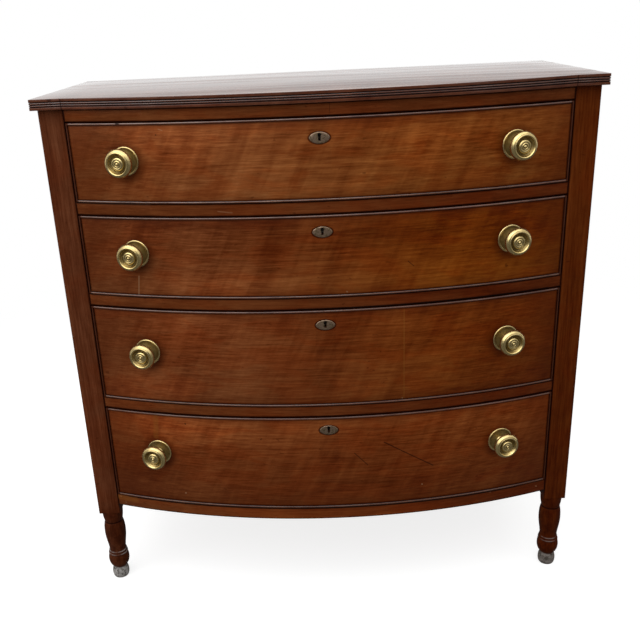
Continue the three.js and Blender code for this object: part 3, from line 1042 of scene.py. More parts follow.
def cut_out(piece: bpy.types.Object, cutter: bpy.types.Object) -> None:
    """Cuts one closed mesh out of another.

    Args:
        piece: the piece that is cut.
        cutter: what is taken out of it, then removed.
    """
    step = piece.modifiers.new("cut", "BOOLEAN")
    step.operation = "DIFFERENCE"
    step.solver = "EXACT"
    step.object = cutter
    bpy.context.view_layer.update()
    shaped = piece.evaluated_get(bpy.context.evaluated_depsgraph_get())
    mesh = bpy.data.meshes.new_from_object(shaped)
    mesh.set_sharp_from_angle(angle=math.radians(SHARP))
    piece.modifiers.clear()
    old = piece.data
    piece.data = mesh
    bpy.data.meshes.remove(old)
    bpy.data.objects.remove(cutter)


@dataclass(frozen=True)
class Bow:
    """The plan curve that every bowed piece shares."""

    half: float = 468 * MM
    depth: float = 81 * MM
    plane: float = -173.5 * MM
    steps: int = 96
    end_play: float = 0.2 * MM

    @property
    def radius(self) -> float:
        """Radius of the curve."""
        return (self.half**2 + self.depth**2) / (2 * self.depth)

    def forward(self, x: float) -> float:
        """How far the bow stands in front of the posts.

        Args:
            x: place across the chest.

        Returns:
            That distance, which is 0 beyond the bow's ends.
        """
        if abs(x) >= self.half:
            return 0.0
        return math.sqrt(self.radius**2 - x**2) - (self.radius - self.depth)

    def places(self, half: float) -> list[float]:
        """Where to cut a straight piece so that it bends smoothly.

        Args:
            half: half of the piece's length.

        Returns:
            x of each cut.
        """
        inner = [self.half * (2 * i / self.steps - 1) for i in range(1, self.steps)]
        ends = [-self.half, self.half] if half > self.half else []
        return [x for x in inner + ends if abs(x) < half - self.end_play]

    def bend(self, bm: bmesh.types.BMesh, straight_at: float | None = None) -> None:
        """Bends a mesh made straight, with y counted from the posts' front plane.

        Args:
            bm: the mesh.
            straight_at: the y at which nothing bends, or None to bend all alike.
        """
        for vert in bm.verts:
            share = 1.0
            if straight_at is not None:
                share = min(1.0, max(0.0, 1 - vert.co.y / straight_at))
            vert.co.y += self.plane - share * self.forward(vert.co.x)


@dataclass
class Maker:
    """What every sub-assembly has: the bow, its finishes and the body it rides on."""

    bow: Bow
    finishes: dict[str, bpy.types.Material]
    body: str = "case"

    def put(
        self,
        name: str,
        bm: bmesh.types.BMesh,
        finish: str,
        slot: str,
        stands_for: Sequence[str] = (),
        sharp: float = SHARP,
    ) -> bpy.types.Object:
        """Turns a mesh into a finished piece.

        Args:
            name: the piece's name.
            bm: its mesh, which is freed.
            finish: the key of its material.
            slot: the record's material slot; not used.
            stands_for: the CAD nodes that it replaces.
            sharp: edges above this angle, in degrees, stay crisp.

        Returns:
            The piece.
        """
        mesh = as_mesh(name, bm)
        mesh.shade_smooth()
        mesh.set_sharp_from_angle(angle=math.radians(sharp))
        mesh.materials.append(self.finishes[finish])
        piece = show(name, mesh)
        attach(piece, self.body)
        if stands_for:
            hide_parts(*stands_for)
        LOG.info("%s: %d faces", name, len(mesh.polygons))
        return piece

    def dress(self, node: str, finish: str) -> None:
        """Gives a CAD node its material.

        Args:
            node: the node's name.
            finish: the key of the material.
        """
        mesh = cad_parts[node].data
        mesh.materials.clear()
        mesh.materials.append(self.finishes[finish])
        LOG.info("%s: dressed", node)


# Case
@dataclass
class TopBoard(Maker):
    """The bowed top with a reeded edge."""

    overhang: float = 8 * MM
    round_off: float = 0.7 * MM
    round_shy: float = 0.3
    reed_depth: float = 1.8 * MM
    reed_steps: int = 10
    reed_fullness: float = 0.8
    lip: tuple[float, float, float] = (0.25 * MM, 0.4 * MM, 0.9 * MM)
    grooves: tuple[float, ...] = (6.0 * MM, 9.8 * MM, 14.0 * MM)

    def edge(self, thickness: float) -> list[tuple[float, float]]:
        """Works out the moulded edge.

        Args:
            thickness: the board's thickness.

        Returns:
            Inset and height of each level, from below upwards.
        """
        turn = self.round_off
        lip, near, far = self.lip
        first, last = self.grooves[0], self.grooves[-1]
        shy = turn * self.round_shy
        levels = [(turn, 0.0), (shy, shy), (0.0, turn)]
        levels += [(0.0, first - far), (lip, first - near)]
        for low, high in zip(self.grooves, self.grooves[1:]):
            levels.append((self.reed_depth, low))
            for i in range(1, self.reed_steps):
                angle = math.pi * i / self.reed_steps
                inset = self.reed_depth * (1 - math.sin(angle) ** self.reed_fullness)
                levels.append((inset, low + (high - low) * (1 - math.cos(angle)) / 2))
        levels += [(self.reed_depth, last), (lip, last + near), (0.0, last + far)]
        return levels + [(0.0, thickness - turn), (shy, thickness - shy), (turn, thickness)]

    def build(self) -> None:
        """Raises the board level by level, then bends it."""
        low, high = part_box("top_board")
        rear = high.y - self.bow.plane
        levels = self.edge(high.z - low.z)
        inset = levels[0][0]
        front = inset - self.overhang
        middle = Vector((0, (front + rear) / 2, low.z))
        bm = bmesh.new()
        size = (high.x - inset, (rear - front) / 2)
        edges = ring_of(bm, *size, Matrix.Translation(middle))
        cap(bm, edges)
        for (old, _), (new, height) in zip(levels, levels[1:]):
            step = new - old

            def move(co: Vector, step: float = step, height: float = height) -> Vector:
                """The next level's corner, which moves in y at the front alone.

                Args:
                    co: the corner below it.
                    step: how far the edge draws in.
                    height: the level's height over the board's underside.

                Returns:
                    The new corner.
                """
                x = co.x - step * math.copysign(1, co.x)
                y = co.y + (step if co.y < middle.y else 0)
                return Vector((x, y, low.z + height))

            edges = grow(bm, edges, move)
        cap(bm, edges)
        bmesh.ops.recalc_face_normals(bm, faces=bm.faces[:])
        slice_along(bm, 0, self.bow.places(high.x))
        self.bow.bend(bm, straight_at=rear)
        self.put("top", bm, "top", "case_wood", ["top_board"], sharp=50)


@dataclass
class Post(Maker):
    """The corner posts, square above and turned into legs below.

    The profile's rows are height and radius in millimetres, from the square down.
    """

    square: float = 47 * MM
    shoulder: float = 181 * MM
    arris: float = 1.3 * MM
    arris_steps: int = 3
    play: float = 0.3 * MM
    rabbet_reach: float = 40 * MM
    rabbet_past: float = 10 * MM
    steps: int = 48
    profile: tuple[tuple[float, float], ...] = (
        (181.0, 22.4), (178.5, 22.9), (174, 22.8), (169, 22.5), (164, 22.0), (159.5, 21.3),
        (155.5, 20.5), (152.8, 19.8), (151.6, 19.2), (150.6, 19.0), (149.6, 19.5),
        (148.6, 20.6), (146.5, 21.2), (142, 22.1), (136, 22.9), (129, 23.3), (121, 23.4),
        (113, 23.0), (105, 22.2), (97, 21.0), (89, 19.7), (81, 18.7), (75.2, 18.3),
        (73.8, 18.6), (73.0, 19.6), (72.0, 20.1), (70.6, 20.2), (69.4, 19.8), (68.7, 19.2),
        (67.9, 19.4), (67.1, 20.9), (66.0, 21.6), (64.4, 21.7), (63.0, 21.2), (62.2, 20.8),
        (61.2, 21.3), (58.6, 22.1), (54.6, 22.8), (49.5, 23.1), (44.4, 22.7), (39.8, 21.7),
        (35.7, 20.1), (32.3, 18.0), (29.8, 15.8), (28.2, 14.6), (27, 14.6), (24.8, 15.8),
        (21, 17.6), (16, 18.5), (11, 18.6), (6, 18.1), (2.6, 17.2), (0.8, 16.3), (0, 15.2),
    )

    def build(self) -> None:
        """Makes the four posts."""
        for place in ("front", "rear"):
            for hand in HANDS:
                self._one(place, hand)

    def _one(self, place: str, hand: str) -> None:
        """Makes one post where its node stands.

        Args:
            place: front or rear.
            hand: left or right.
        """
        node = f"post_{place}_{hand}"
        low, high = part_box(node)
        centre = (low + high) / 2
        bm = bmesh.new()
        half = Vector((self.square / 2, self.square / 2, 0))
        base = Vector((centre.x, centre.y, self.shoulder))
        block(bm, base - half, Vector((centre.x + half.x, centre.y + half.y, high.z)))
        upright = [e for e in bm.edges if abs(e.verts[0].co.z - e.verts[1].co.z) > MM]
        soften(bm, upright, self.arris, self.arris_steps)
        under = [f for f in bm.faces if f.normal.z < -0.9]
        rim = list({edge for face in under for edge in face.edges})
        bmesh.ops.delete(bm, geom=under, context="FACES_ONLY")
        level, radius = self.profile[0]
        spot = Matrix.Translation((centre.x, centre.y, level * MM))
        ring = edges_at(circle(bm, radius * MM, self.steps, spot))
        bmesh.ops.bridge_loops(bm, edges=rim + ring)
        for (_, old), (level, new) in zip(self.profile, self.profile[1:]):
            scale = new / old

            def move(co: Vector, scale: float = scale, level: float = level) -> Vector:
                """The next turning of the leg.

                Args:
                    co: a point of the ring above.
                    scale: the new radius over the old one.
                    level: the new ring's height in millimetres.

                Returns:
                    The new point.
                """
                x = centre.x + (co.x - centre.x) * scale
                y = centre.y + (co.y - centre.y) * scale
                return Vector((x, y, level * MM))

            ring = grow(bm, ring, move)
        cap(bm, ring)
        bmesh.ops.recalc_face_normals(bm, faces=bm.faces[:])
        piece = self.put(f"{place}_post_{hand}", bm, f"post_{hand}", "case_wood", [node])
        if place == "rear":
            self._rabbet(piece, centre.x)

    def _rabbet(self, piece: bpy.types.Object, side: float) -> None:
        """Cuts the step in a rear post that the back's boards lie in.

        Args:
            piece: the post.
            side: x of the post, whose sign gives the hand.
        """
        low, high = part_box("back_panel")
        outer = math.copysign(high.x + self.play, side)
        inner = outer - math.copysign(self.rabbet_reach, side)
        past = self.rabbet_past
        bm = bmesh.new()
        block(
            bm,
            Vector((min(inner, outer), low.y - self.play, low.z - self.play)),
            Vector((max(inner, outer), high.y + past, high.z + past)),
        )
        cut_out(piece, as_cutter(bm))


@dataclass
class FrontRails(Maker):
    """The bowed rails over, between and under the drawers."""

    arris: float = 0.7 * MM
    depth: float = 60 * MM

    def build(self) -> None:
        """Makes all five rails."""
        for name in RAILS:
            low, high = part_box(name)
            bm = bmesh.new()
            half = self.bow.half
            block(bm, Vector((-half, 0, low.z)), Vector((half, self.depth, high.z)))
            front = [e for e in bm.edges if all(v.co.y < MM for v in e.verts)]
            level = [e for e in front if abs(e.verts[0].co.z - e.verts[1].co.z) < MM]
            soften(bm, level, self.arris)
            slice_along(bm, 0, self.bow.places(half))
            self.bow.bend(bm, straight_at=self.depth)
            self.put(f"{name}_wood", bm, "rail", "case_wood", [name])


@dataclass
class CaseInside(Maker):
    """Side boards, runners, kickers and the boarded back."""

    boards: int = 5
    board_gap: float = 0.1 * MM
    board_round: float = 1.2 * MM
    nail_head: float = 2.6 * MM
    nail_top: float = 1.82 * MM
    nail_height: float = 0.9 * MM
    nail_steps: int = 14
    nail_aside: float = 22 * MM
    nail_up: float = 14 * MM
    nail_down: float = 20 * MM

    def build(self) -> None:
        """Dresses the plain boards and makes the back."""
        for hand in HANDS:
            self.dress(f"side_panel_{hand}", "side")
            self.dress(f"kicker_{hand}", "bare_deep")
            for number in DRAWERS:
                self.dress(f"runner_{number}_{hand}", "bare_deep")
        self.dress("rear_top_rail", "bare_across")
        self._back()

    def _back(self) -> None:
        """Upright boards side by side, each nailed at the top and the bottom."""
        low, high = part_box("back_panel")
        width = (high.x - low.x) / self.boards
        for number in range(self.boards):
            bm = bmesh.new()
            left = low.x + number * width + self.board_gap / 2
            right = left + width - self.board_gap
            block(bm, Vector((left, low.y, low.z)), Vector((right, high.y, high.z)))
            rear = [e for e in bm.edges if all(v.co.y > high.y - MM for v in e.verts)]
            soften(bm, rear, self.board_round)
            stands_for = ["back_panel"] if number == 0 else []
            name = f"back_board_{number + 1}"
            self.put(name, bm, "bare_upright", "inner_wood", stands_for)
            middle = Vector(((left + right) / 2, high.y, 0))
            self._nails(number + 1, middle, (right - left) / 2, (low.z, high.z))

    def _nails(self, number: int, middle: Vector, half: float, ends: tuple[float, float]) -> None:
        """Flat nail heads near a board's corners.

        Args:
            number: the board's number.
            middle: a point on the middle line of the board's rear face.
            half: half of the board's width.
            ends: heights of the board's two ends.
        """
        bm = bmesh.new()
        aside = half - self.nail_aside
        for x in (-aside, aside):
            for z in (ends[0] + self.nail_up, ends[1] - self.nail_down):
                spot = Matrix.Translation(middle + Vector((x, 0, z))) @ TO_REAR
                sizes = (self.nail_head, self.nail_top, self.nail_height)
                stud(bm, spot, *sizes, self.nail_steps)
        self.put(f"back_nails_{number}", bm, "iron", "plate_brass")


# Drawers
@dataclass
class Knob(Maker):
    """A turned brass knob on a round rose, square to the bow.

    The rows of the rose and the head are radius and height in millimetres, and dirt with painted
    shade.
    """

    drawer: int = 1
    hand: str = "left"
    offset: float = 356 * MM
    board: float = 25.2 * MM
    nut_half: float = 8 * MM
    nut_height: float = 4 * MM
    nut_play: float = 0.6 * MM
    nut_round: float = 0.6 * MM
    bolt_base: float = 3.2 * MM
    bolt_top: float = 3.4 * MM
    bolt_length: float = 3 * MM
    bolt_middle: float = 5.4 * MM
    bolt_steps: int = 20
    steps: int = 72
    # On the rose, the dirt under the head also paints the head's shadow.
    rose: tuple[Turning, ...] = (
        (0, -0.6, 0.2), (25.1, -0.6, 0.2), (26.3, -0.3, 0.3), (26.8, 0.5, 0.1), (26.5, 1.7, 0),
        (25.8, 2.5, 0), (24.8, 2.8, 0), (23.8, 2.6, 0.2), (23.2, 2.0, 0.85), (22.5, 1.6, 1),
        (21.7, 1.5, 1), (18.4, 1.7, 0.9), (14.9, 2.3, 0.85), (12.4, 3.1, 0.9), (11.4, 3.4, 0.9),
        (10.4, 3.6, 1), (0, 3.6, 1),
    )
    head: tuple[Turning, ...] = (
        (0, 2.6, 1), (10.6, 2.6, 1), (10.9, 3.8, 0.8), (10.3, 5.2, 0.35), (9.2, 6.6, 0.1),
        (8.4, 8.6, 0), (8.2, 10.6, 0), (8.6, 12.8, 0), (9.7, 15.2, 0), (11.4, 17.4, 0),
        (13.7, 19.3, 0), (16.3, 20.9, 0.1), (18.8, 22.2, 0.2), (20.9, 23.2, 0.35),
        (21.9, 23.8, 0.65), (22.4, 24.4, 0.85), (23, 24.9, 0.5), (24.4, 25.3, 0.2),
        (25.8, 26.2, 0), (26.5, 27.4, 0), (26.7, 28.6, 0), (26.4, 30.2, 0), (25.8, 31.8, 0),
        (24.8, 33.3, 0), (23.7, 34.7, 0), (22.7, 35.6, 0.1), (22, 35.8, 0.4), (21.5, 36.1, 0.3),
        (20.9, 36.8, 0), (20.1, 37.1, 0), (19.3, 36.9, 0), (18.6, 36.2, 0), (17.9, 34.9, 0),
        (17.1, 33.4, 0.15), (16.1, 32.1, 0.4), (15.2, 31.1, 0.8), (14.3, 30.5, 1),
        (13.5, 30.4, 1), (12.9, 30.9, 1), (12.6, 32.0, 0.7), (12.2, 33.4, 0.1), (11, 34.6, 0),
        (9.9, 35.4, 0), (8.8, 35.6, 0), (8, 35.4, 0.1), (7.4, 34.9, 0.6), (7, 34.8, 0.6),
        (6.5, 35.2, 0.1), (5.7, 35.9, 0), (4.8, 36.1, 0), (4.1, 35.8, 0.2), (3.6, 35.1, 0.9),
        (3.2, 34.9, 0.95), (2.8, 35.4, 0.3), (2.2, 36.5, 0), (1.2, 37.1, 0), (0, 37.3, 0),
    )

    def build(self) -> None:
        """Turns the rose and the knob and seats them, with the bolt and nut inside."""
        node = f"drawer_{self.drawer}_knob_{self.hand}"
        low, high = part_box(node)
        self.body = f"drawer_{self.drawer}"
        x = self.offset if self.hand == "right" else -self.offset
        lean = math.asin(x / self.bow.radius)
        spot = Vector((x, self.bow.plane - self.bow.forward(x), (low.z + high.z) / 2))
        seat = Matrix.Translation(spot) @ Matrix.Rotation(lean, 4, "Z") @ TO_FRONT
        for part, profile in (("rose", self.rose), ("knob", self.head)):
            bm = bmesh.new()
            turned(bm, [(r * MM, h * MM, d) for r, h, d in profile], self.steps)
            if part == "knob":
                self._bolt(bm)
            bmesh.ops.transform(bm, matrix=seat, verts=bm.verts[:])
            stands_for = [node] if part == "knob" else []
            name = f"drawer_{self.drawer}_{part}_brass_{self.hand}"
            self.put(name, bm, "knob", "knob_brass", stands_for, sharp=60)

    def _bolt(self, bm: bmesh.types.BMesh) -> None:
        """Adds the square nut and the end of the bolt inside the drawer.

        Args:
            bm: the knob's mesh, not yet seated.
        """
        back = -self.board - self.nut_play
        half = self.nut_half
        corner = Vector((half, half, back))
        nut = block(bm, Vector((-half, -half, back - self.nut_height)), corner)
        soften(bm, edges_at(nut), self.nut_round)
        spot = Matrix.Translation((0, 0, back - self.bolt_middle))
        stud(bm, spot, self.bolt_base, self.bolt_top, self.bolt_length, self.bolt_steps)


@dataclass
class KeyPlate(Maker):
    """The pointed oval plate round a keyhole.

    The rim's rows are inset and depth in millimetres, and dirt with painted shade.
    """

    drawer: int = 1
    half_length: float = 18.75 * MM
    half_height: float = 10.5 * MM
    point: float = 1.2
    thickness: float = 1.6 * MM
    collar: float = 0.4 * MM
    collar_dirt_and_shade: float = 0.15
    rim: tuple[tuple[float, float, float], ...] = (
        (1.5, 0, 0), (1.0, 0.12, 0), (0.5, 0.35, 0.1), (0.15, 0.7, 0.6), (0, 1.0, 1), (0, 1.6, 1),
    )
    recess_play: float = 0.25 * MM
    recess: tuple[float, float] = (-6 * MM, 9 * MM)
    head: float = 3.2 * MM
    slot_half: float = 2.1 * MM
    hole_height: float = 13.5 * MM
    hole_rise: float = 1.5 * MM
    hole_steps: int = 48
    steps: int = 64

    def outline(self, bm: bmesh.types.BMesh, grow_by: float, y: float) -> list:
        """Adds a pointed oval ring in the plane of the front.

        Args:
            bm: the mesh.
            grow_by: how far it lies outside the plate's edge.
            y: its depth.

        Returns:
            Its edges.
        """
        made = circle(bm, 1, self.steps, TO_FRONT)
        half_x, half_z = self.half_length + grow_by, self.half_height + grow_by
        for vert in made:
            angle = math.atan2(vert.co.z, vert.co.x)
            tall = math.copysign(abs(math.sin(angle)) ** self.point, math.sin(angle))
            vert.co = Vector((half_x * math.cos(angle), y, half_z * tall))
        return edges_at(made)

    def keyhole(self, bm: bmesh.types.BMesh, y: float) -> list:
        """Adds a keyhole ring in the plane of the front.

        Args:
            bm: the mesh.
            y: its depth.

        Returns:
            Its edges.
        """
        made = circle(bm, self.head, self.hole_steps, TO_FRONT)
        top = self.hole_rise + self.hole_height / 2
        spread = math.asin(self.slot_half / self.head)
        step = FULL_TURN / self.hole_steps
        last = math.floor(spread / step) * step
        for vert in made:
            x, z = vert.co.x, vert.co.z
            angle = math.atan2(x, -z)
            if abs(angle) < last + step / 2:
                vert.co = Vector((angle / last * self.slot_half, y, top - self.hole_height))
            else:
                vert.co = Vector((x, y, top - self.head + z))
        return edges_at(made)

    def centre(self) -> Vector:
        """Where the plate's middle lies on the front."""
        low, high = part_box(f"drawer_{self.drawer}_key_plate")
        return Vector(((low.x + high.x) / 2, low.y, (low.z + high.z) / 2))

    def build(self) -> None:
        """Cuts the plate out, rounds its edge over and lets it into the front."""
        node = f"drawer_{self.drawer}_key_plate"
        self.body = f"drawer_{self.drawer}"
        bm = bmesh.new()
        dirt_and_shade = bm.verts.layers.float.new("dirt_and_shade")
        hole = self.keyhole(bm, 0)
        # Painted shade in the keyhole and on the rim's outer edge, with a little on the collar
        # round the hole.
        self._set_dirt_and_shade(hole, dirt_and_shade, 1.0)
        eye = Vector((0, 0, self.hole_rise))
        last = grow(bm, hole, lambda co: co + (co - eye).normalized() * self.collar)
        self._set_dirt_and_shade(last, dirt_and_shade, self.collar_dirt_and_shade)
        for inset, deep, grime in self.rim:
            rim = self.outline(bm, -inset * MM, deep * MM)
            self._set_dirt_and_shade(rim, dirt_and_shade, grime)
            bmesh.ops.bridge_loops(bm, edges=rim + last)
            last = rim
        hole = grow(bm, hole, lambda co: Vector((co.x, self.thickness, co.z)))
        self._set_dirt_and_shade(hole, dirt_and_shade, 1.0)
        bmesh.ops.bridge_loops(bm, edges=rim + hole)
        bmesh.ops.recalc_face_normals(bm, faces=bm.faces[:])
        bmesh.ops.translate(bm, vec=self.centre(), verts=bm.verts[:])
        self.put(f"drawer_{self.drawer}_plate", bm, "plate", "plate_brass", [node], sharp=40)

    @staticmethod
    def _set_dirt_and_shade(edges: list, layer: bmesh.types.BMLayerItem, grime: float) -> None:
        """Sets the dirt and painted shade on a ring of edges.

        Args:
            edges: the ring.
            layer: the layer that holds the dirt and painted shade.
            grime: how dirty and shaded it is, from 0 to 1.
        """
        for edge in edges:
            for vert in edge.verts:
                vert[layer] = grime

    def cutter(self) -> bpy.types.Object:
        """Makes a closed pointed oval that clears the plate.

        Returns:
            The oval to cut with.
        """
        bm = bmesh.new()
        front, back = self.recess
        rim = self.outline(bm, self.recess_play, front)
        cap(bm, rim)
        rim = grow(bm, rim, lambda co: Vector((co.x, back, co.z)))
        cap(bm, rim)
        bmesh.ops.translate(bm, vec=self.centre(), verts=bm.verts[:])
        return as_cutter(bm)


@dataclass
class Lock(Maker):
    """An iron lock in its pocket: a plate, the case behind it, its top edge and screws.

    Each block has its half width, the depths of its front and rear from the board's inner
    face, its foot and its head below the board's top, and its rounding, in millimetres.
    """

    top: float = 1.0
    board: float = 26 * MM
    blocks: tuple[tuple[float, ...], ...] = (
        (31, -1.8, 0, -45, -1, 0.3),
        (24, -10.4, -1.7, -40, -2.4, 0),
        (31, -10.4, -1.7, -2.4, -0.6, 0),
    )
    screw_x: float = 26 * MM
    screw_z: tuple[float, float] = (-39 * MM, -9 * MM)
    screw_base: float = 2.6 * MM
    screw_top: float = 2.0 * MM
    screw_height: float = 0.8 * MM
    screw_proud: float = 0.2 * MM
    screw_steps: int = 16

    def build(self) -> None:
        """Sets the lock behind the middle of the front."""
        bm = bmesh.new()
        bm.verts.layers.float.new("dirt_and_shade")
        base = Vector((0, self.bow.plane - self.bow.depth + self.board, self.top))
        for half, front, rear, foot, head, rounding in self.blocks:
            low, high = Vector((-half, front, foot)) * MM, Vector((half, rear, head)) * MM
            made = block(bm, base + low, base + high)
            if rounding:
                soften(bm, edges_at(made), rounding * MM)
        for x in (-self.screw_x, self.screw_x):
            for z in self.screw_z:
                spot = Matrix.Translation(base + Vector((x, self.screw_proud, z))) @ TO_REAR
                sizes = (self.screw_base, self.screw_top, self.screw_height)
                stud(bm, spot, *sizes, self.screw_steps)
        self.put(f"{self.body}_lock", bm, "iron", "plate_brass")


@dataclass
class Drawer(Maker):
    """One drawer: its faced front, its bead, its box, its lock and its brasses."""

    number: int = 1
    bead_width: float = 4 * MM
    bead_proud: float = 3 * MM
    bead_inset: float = 5 * MM
    bead_steps: int = 10
    face_proud: float = 0.35 * MM
    face_back: float = 2 * MM
    face_round: float = 0.25 * MM
    crevice: float = 0.25 * MM

    def build(self) -> None:
        """Makes every piece of the drawer."""
        self.body = f"drawer_{self.number}"
        low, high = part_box(f"{self.body}_front")
        plate = KeyPlate(self.bow, self.finishes, drawer=self.number)
        self._face(low, high, plate)
        self._bead(low, high)
        plate.build()
        for hand in HANDS:
            Knob(self.bow, self.finishes, drawer=self.number, hand=hand).build()
            self.dress(f"{self.body}_side_{hand}", "bare_deep")
        self.dress(f"{self.body}_front", "core")
        self.dress(f"{self.body}_back", "bare_across")
        self.dress(f"{self.body}_bottom", "bare_across")
        Lock(self.bow, self.finishes, self.body, top=high.z).build()

    def _face(self, low: Vector, high: Vector, plate: KeyPlate) -> None:
        """Makes the polished face between the beads.

        Args:
            low: the front's lowest corner.
            high: the front's highest corner.
            plate: the key plate, which is let into the face.
        """
        inset = self.bead_width + self.crevice
        bm = bmesh.new()
        half = high.x - inset
        block(
            bm,
            Vector((-half, -self.face_proud, low.z + inset)),
            Vector((half, self.face_back, high.z - inset)),
        )
        front = [e for e in bm.edges if all(v.co.y < 0 for v in e.verts)]
        soften(bm, front, self.face_round)
        slice_along(bm, 0, self.bow.places(half))
        self.bow.bend(bm)
        piece = self.put(f"{self.body}_face", bm, self.body, "drawer_wood")
        cut_out(piece, plate.cutter())

    def _section(self) -> list[tuple[float, float, float]]:
        """Works out the bead's half-round section.

        Returns:
            Inset, depth, and how rubbed and highlit each line is.
        """
        nose = self.bead_width / 2
        centre = nose - self.bead_proud
        section = [(0.0, centre, 0.0)]
        for i in range(1, self.bead_steps + 1):
            angle = math.pi * i / self.bead_steps
            rubbed_and_highlit = max(0.0, math.sin(angle)) ** 3
            section.append((nose - nose * math.cos(angle), centre - nose * math.sin(angle), rubbed_and_highlit))
        return section + [(self.bead_width, self.bead_inset, 0.0)]

    def _bead(self, low: Vector, high: Vector) -> None:
        """Makes the half-round strip proud of the front on all four edges.

        Args:
            low: the front's lowest corner.
            high: the front's highest corner.
        """
        bm = bmesh.new()
        ridge = bm.verts.layers.float.new("ridge")
        middle = (low.z + high.z) / 2
        spot = Matrix.Translation((0, self.bead_inset, middle)) @ TO_FRONT
        first = edges = ring_of(bm, high.x, (high.z - low.z) / 2, spot)
        last = 0.0
        for inset, y, rubbed_and_highlit in self._section():
            step = inset - last
            last = inset

            def move(co: Vector, step: float = step, y: float = y) -> Vector:
                """The next line of the bead's section."""
                x = co.x - math.copysign(step, co.x)
                return Vector((x, y, co.z - math.copysign(step, co.z - middle)))

            edges = grow(bm, edges, move)
            for edge in edges:
                for vert in edge.verts:
                    vert[ridge] = rubbed_and_highlit
        bmesh.ops.bridge_loops(bm, edges=first + edges)
        bmesh.ops.recalc_face_normals(bm, faces=bm.faces[:])
        slice_along(bm, 0, self.bow.places(high.x))
        self.bow.bend(bm)
        name = f"{self.body}_cock_bead"
        self.put(name, bm, "bead", "bead_wood", [f"{self.body}_bead"], sharp=60)


# Camera, light and ground
@dataclass(frozen=True)
class Panel:
    """A flat rectangle: a soft lamp, or a dim card that only reflections show."""

    spot: tuple[float, float, float]
    aim: tuple[float, float, float]
    width: float
    height: float
    level: float

    def place(self) -> Matrix:
        """Turns the rectangle to its aim.

        Returns:
            Its place and turn.
        """
        look = Vector(self.aim) - Vector(self.spot)
        turn = look.to_track_quat("-Z", "Y").to_matrix().to_4x4()
        return Matrix.Translation(self.spot) @ turn


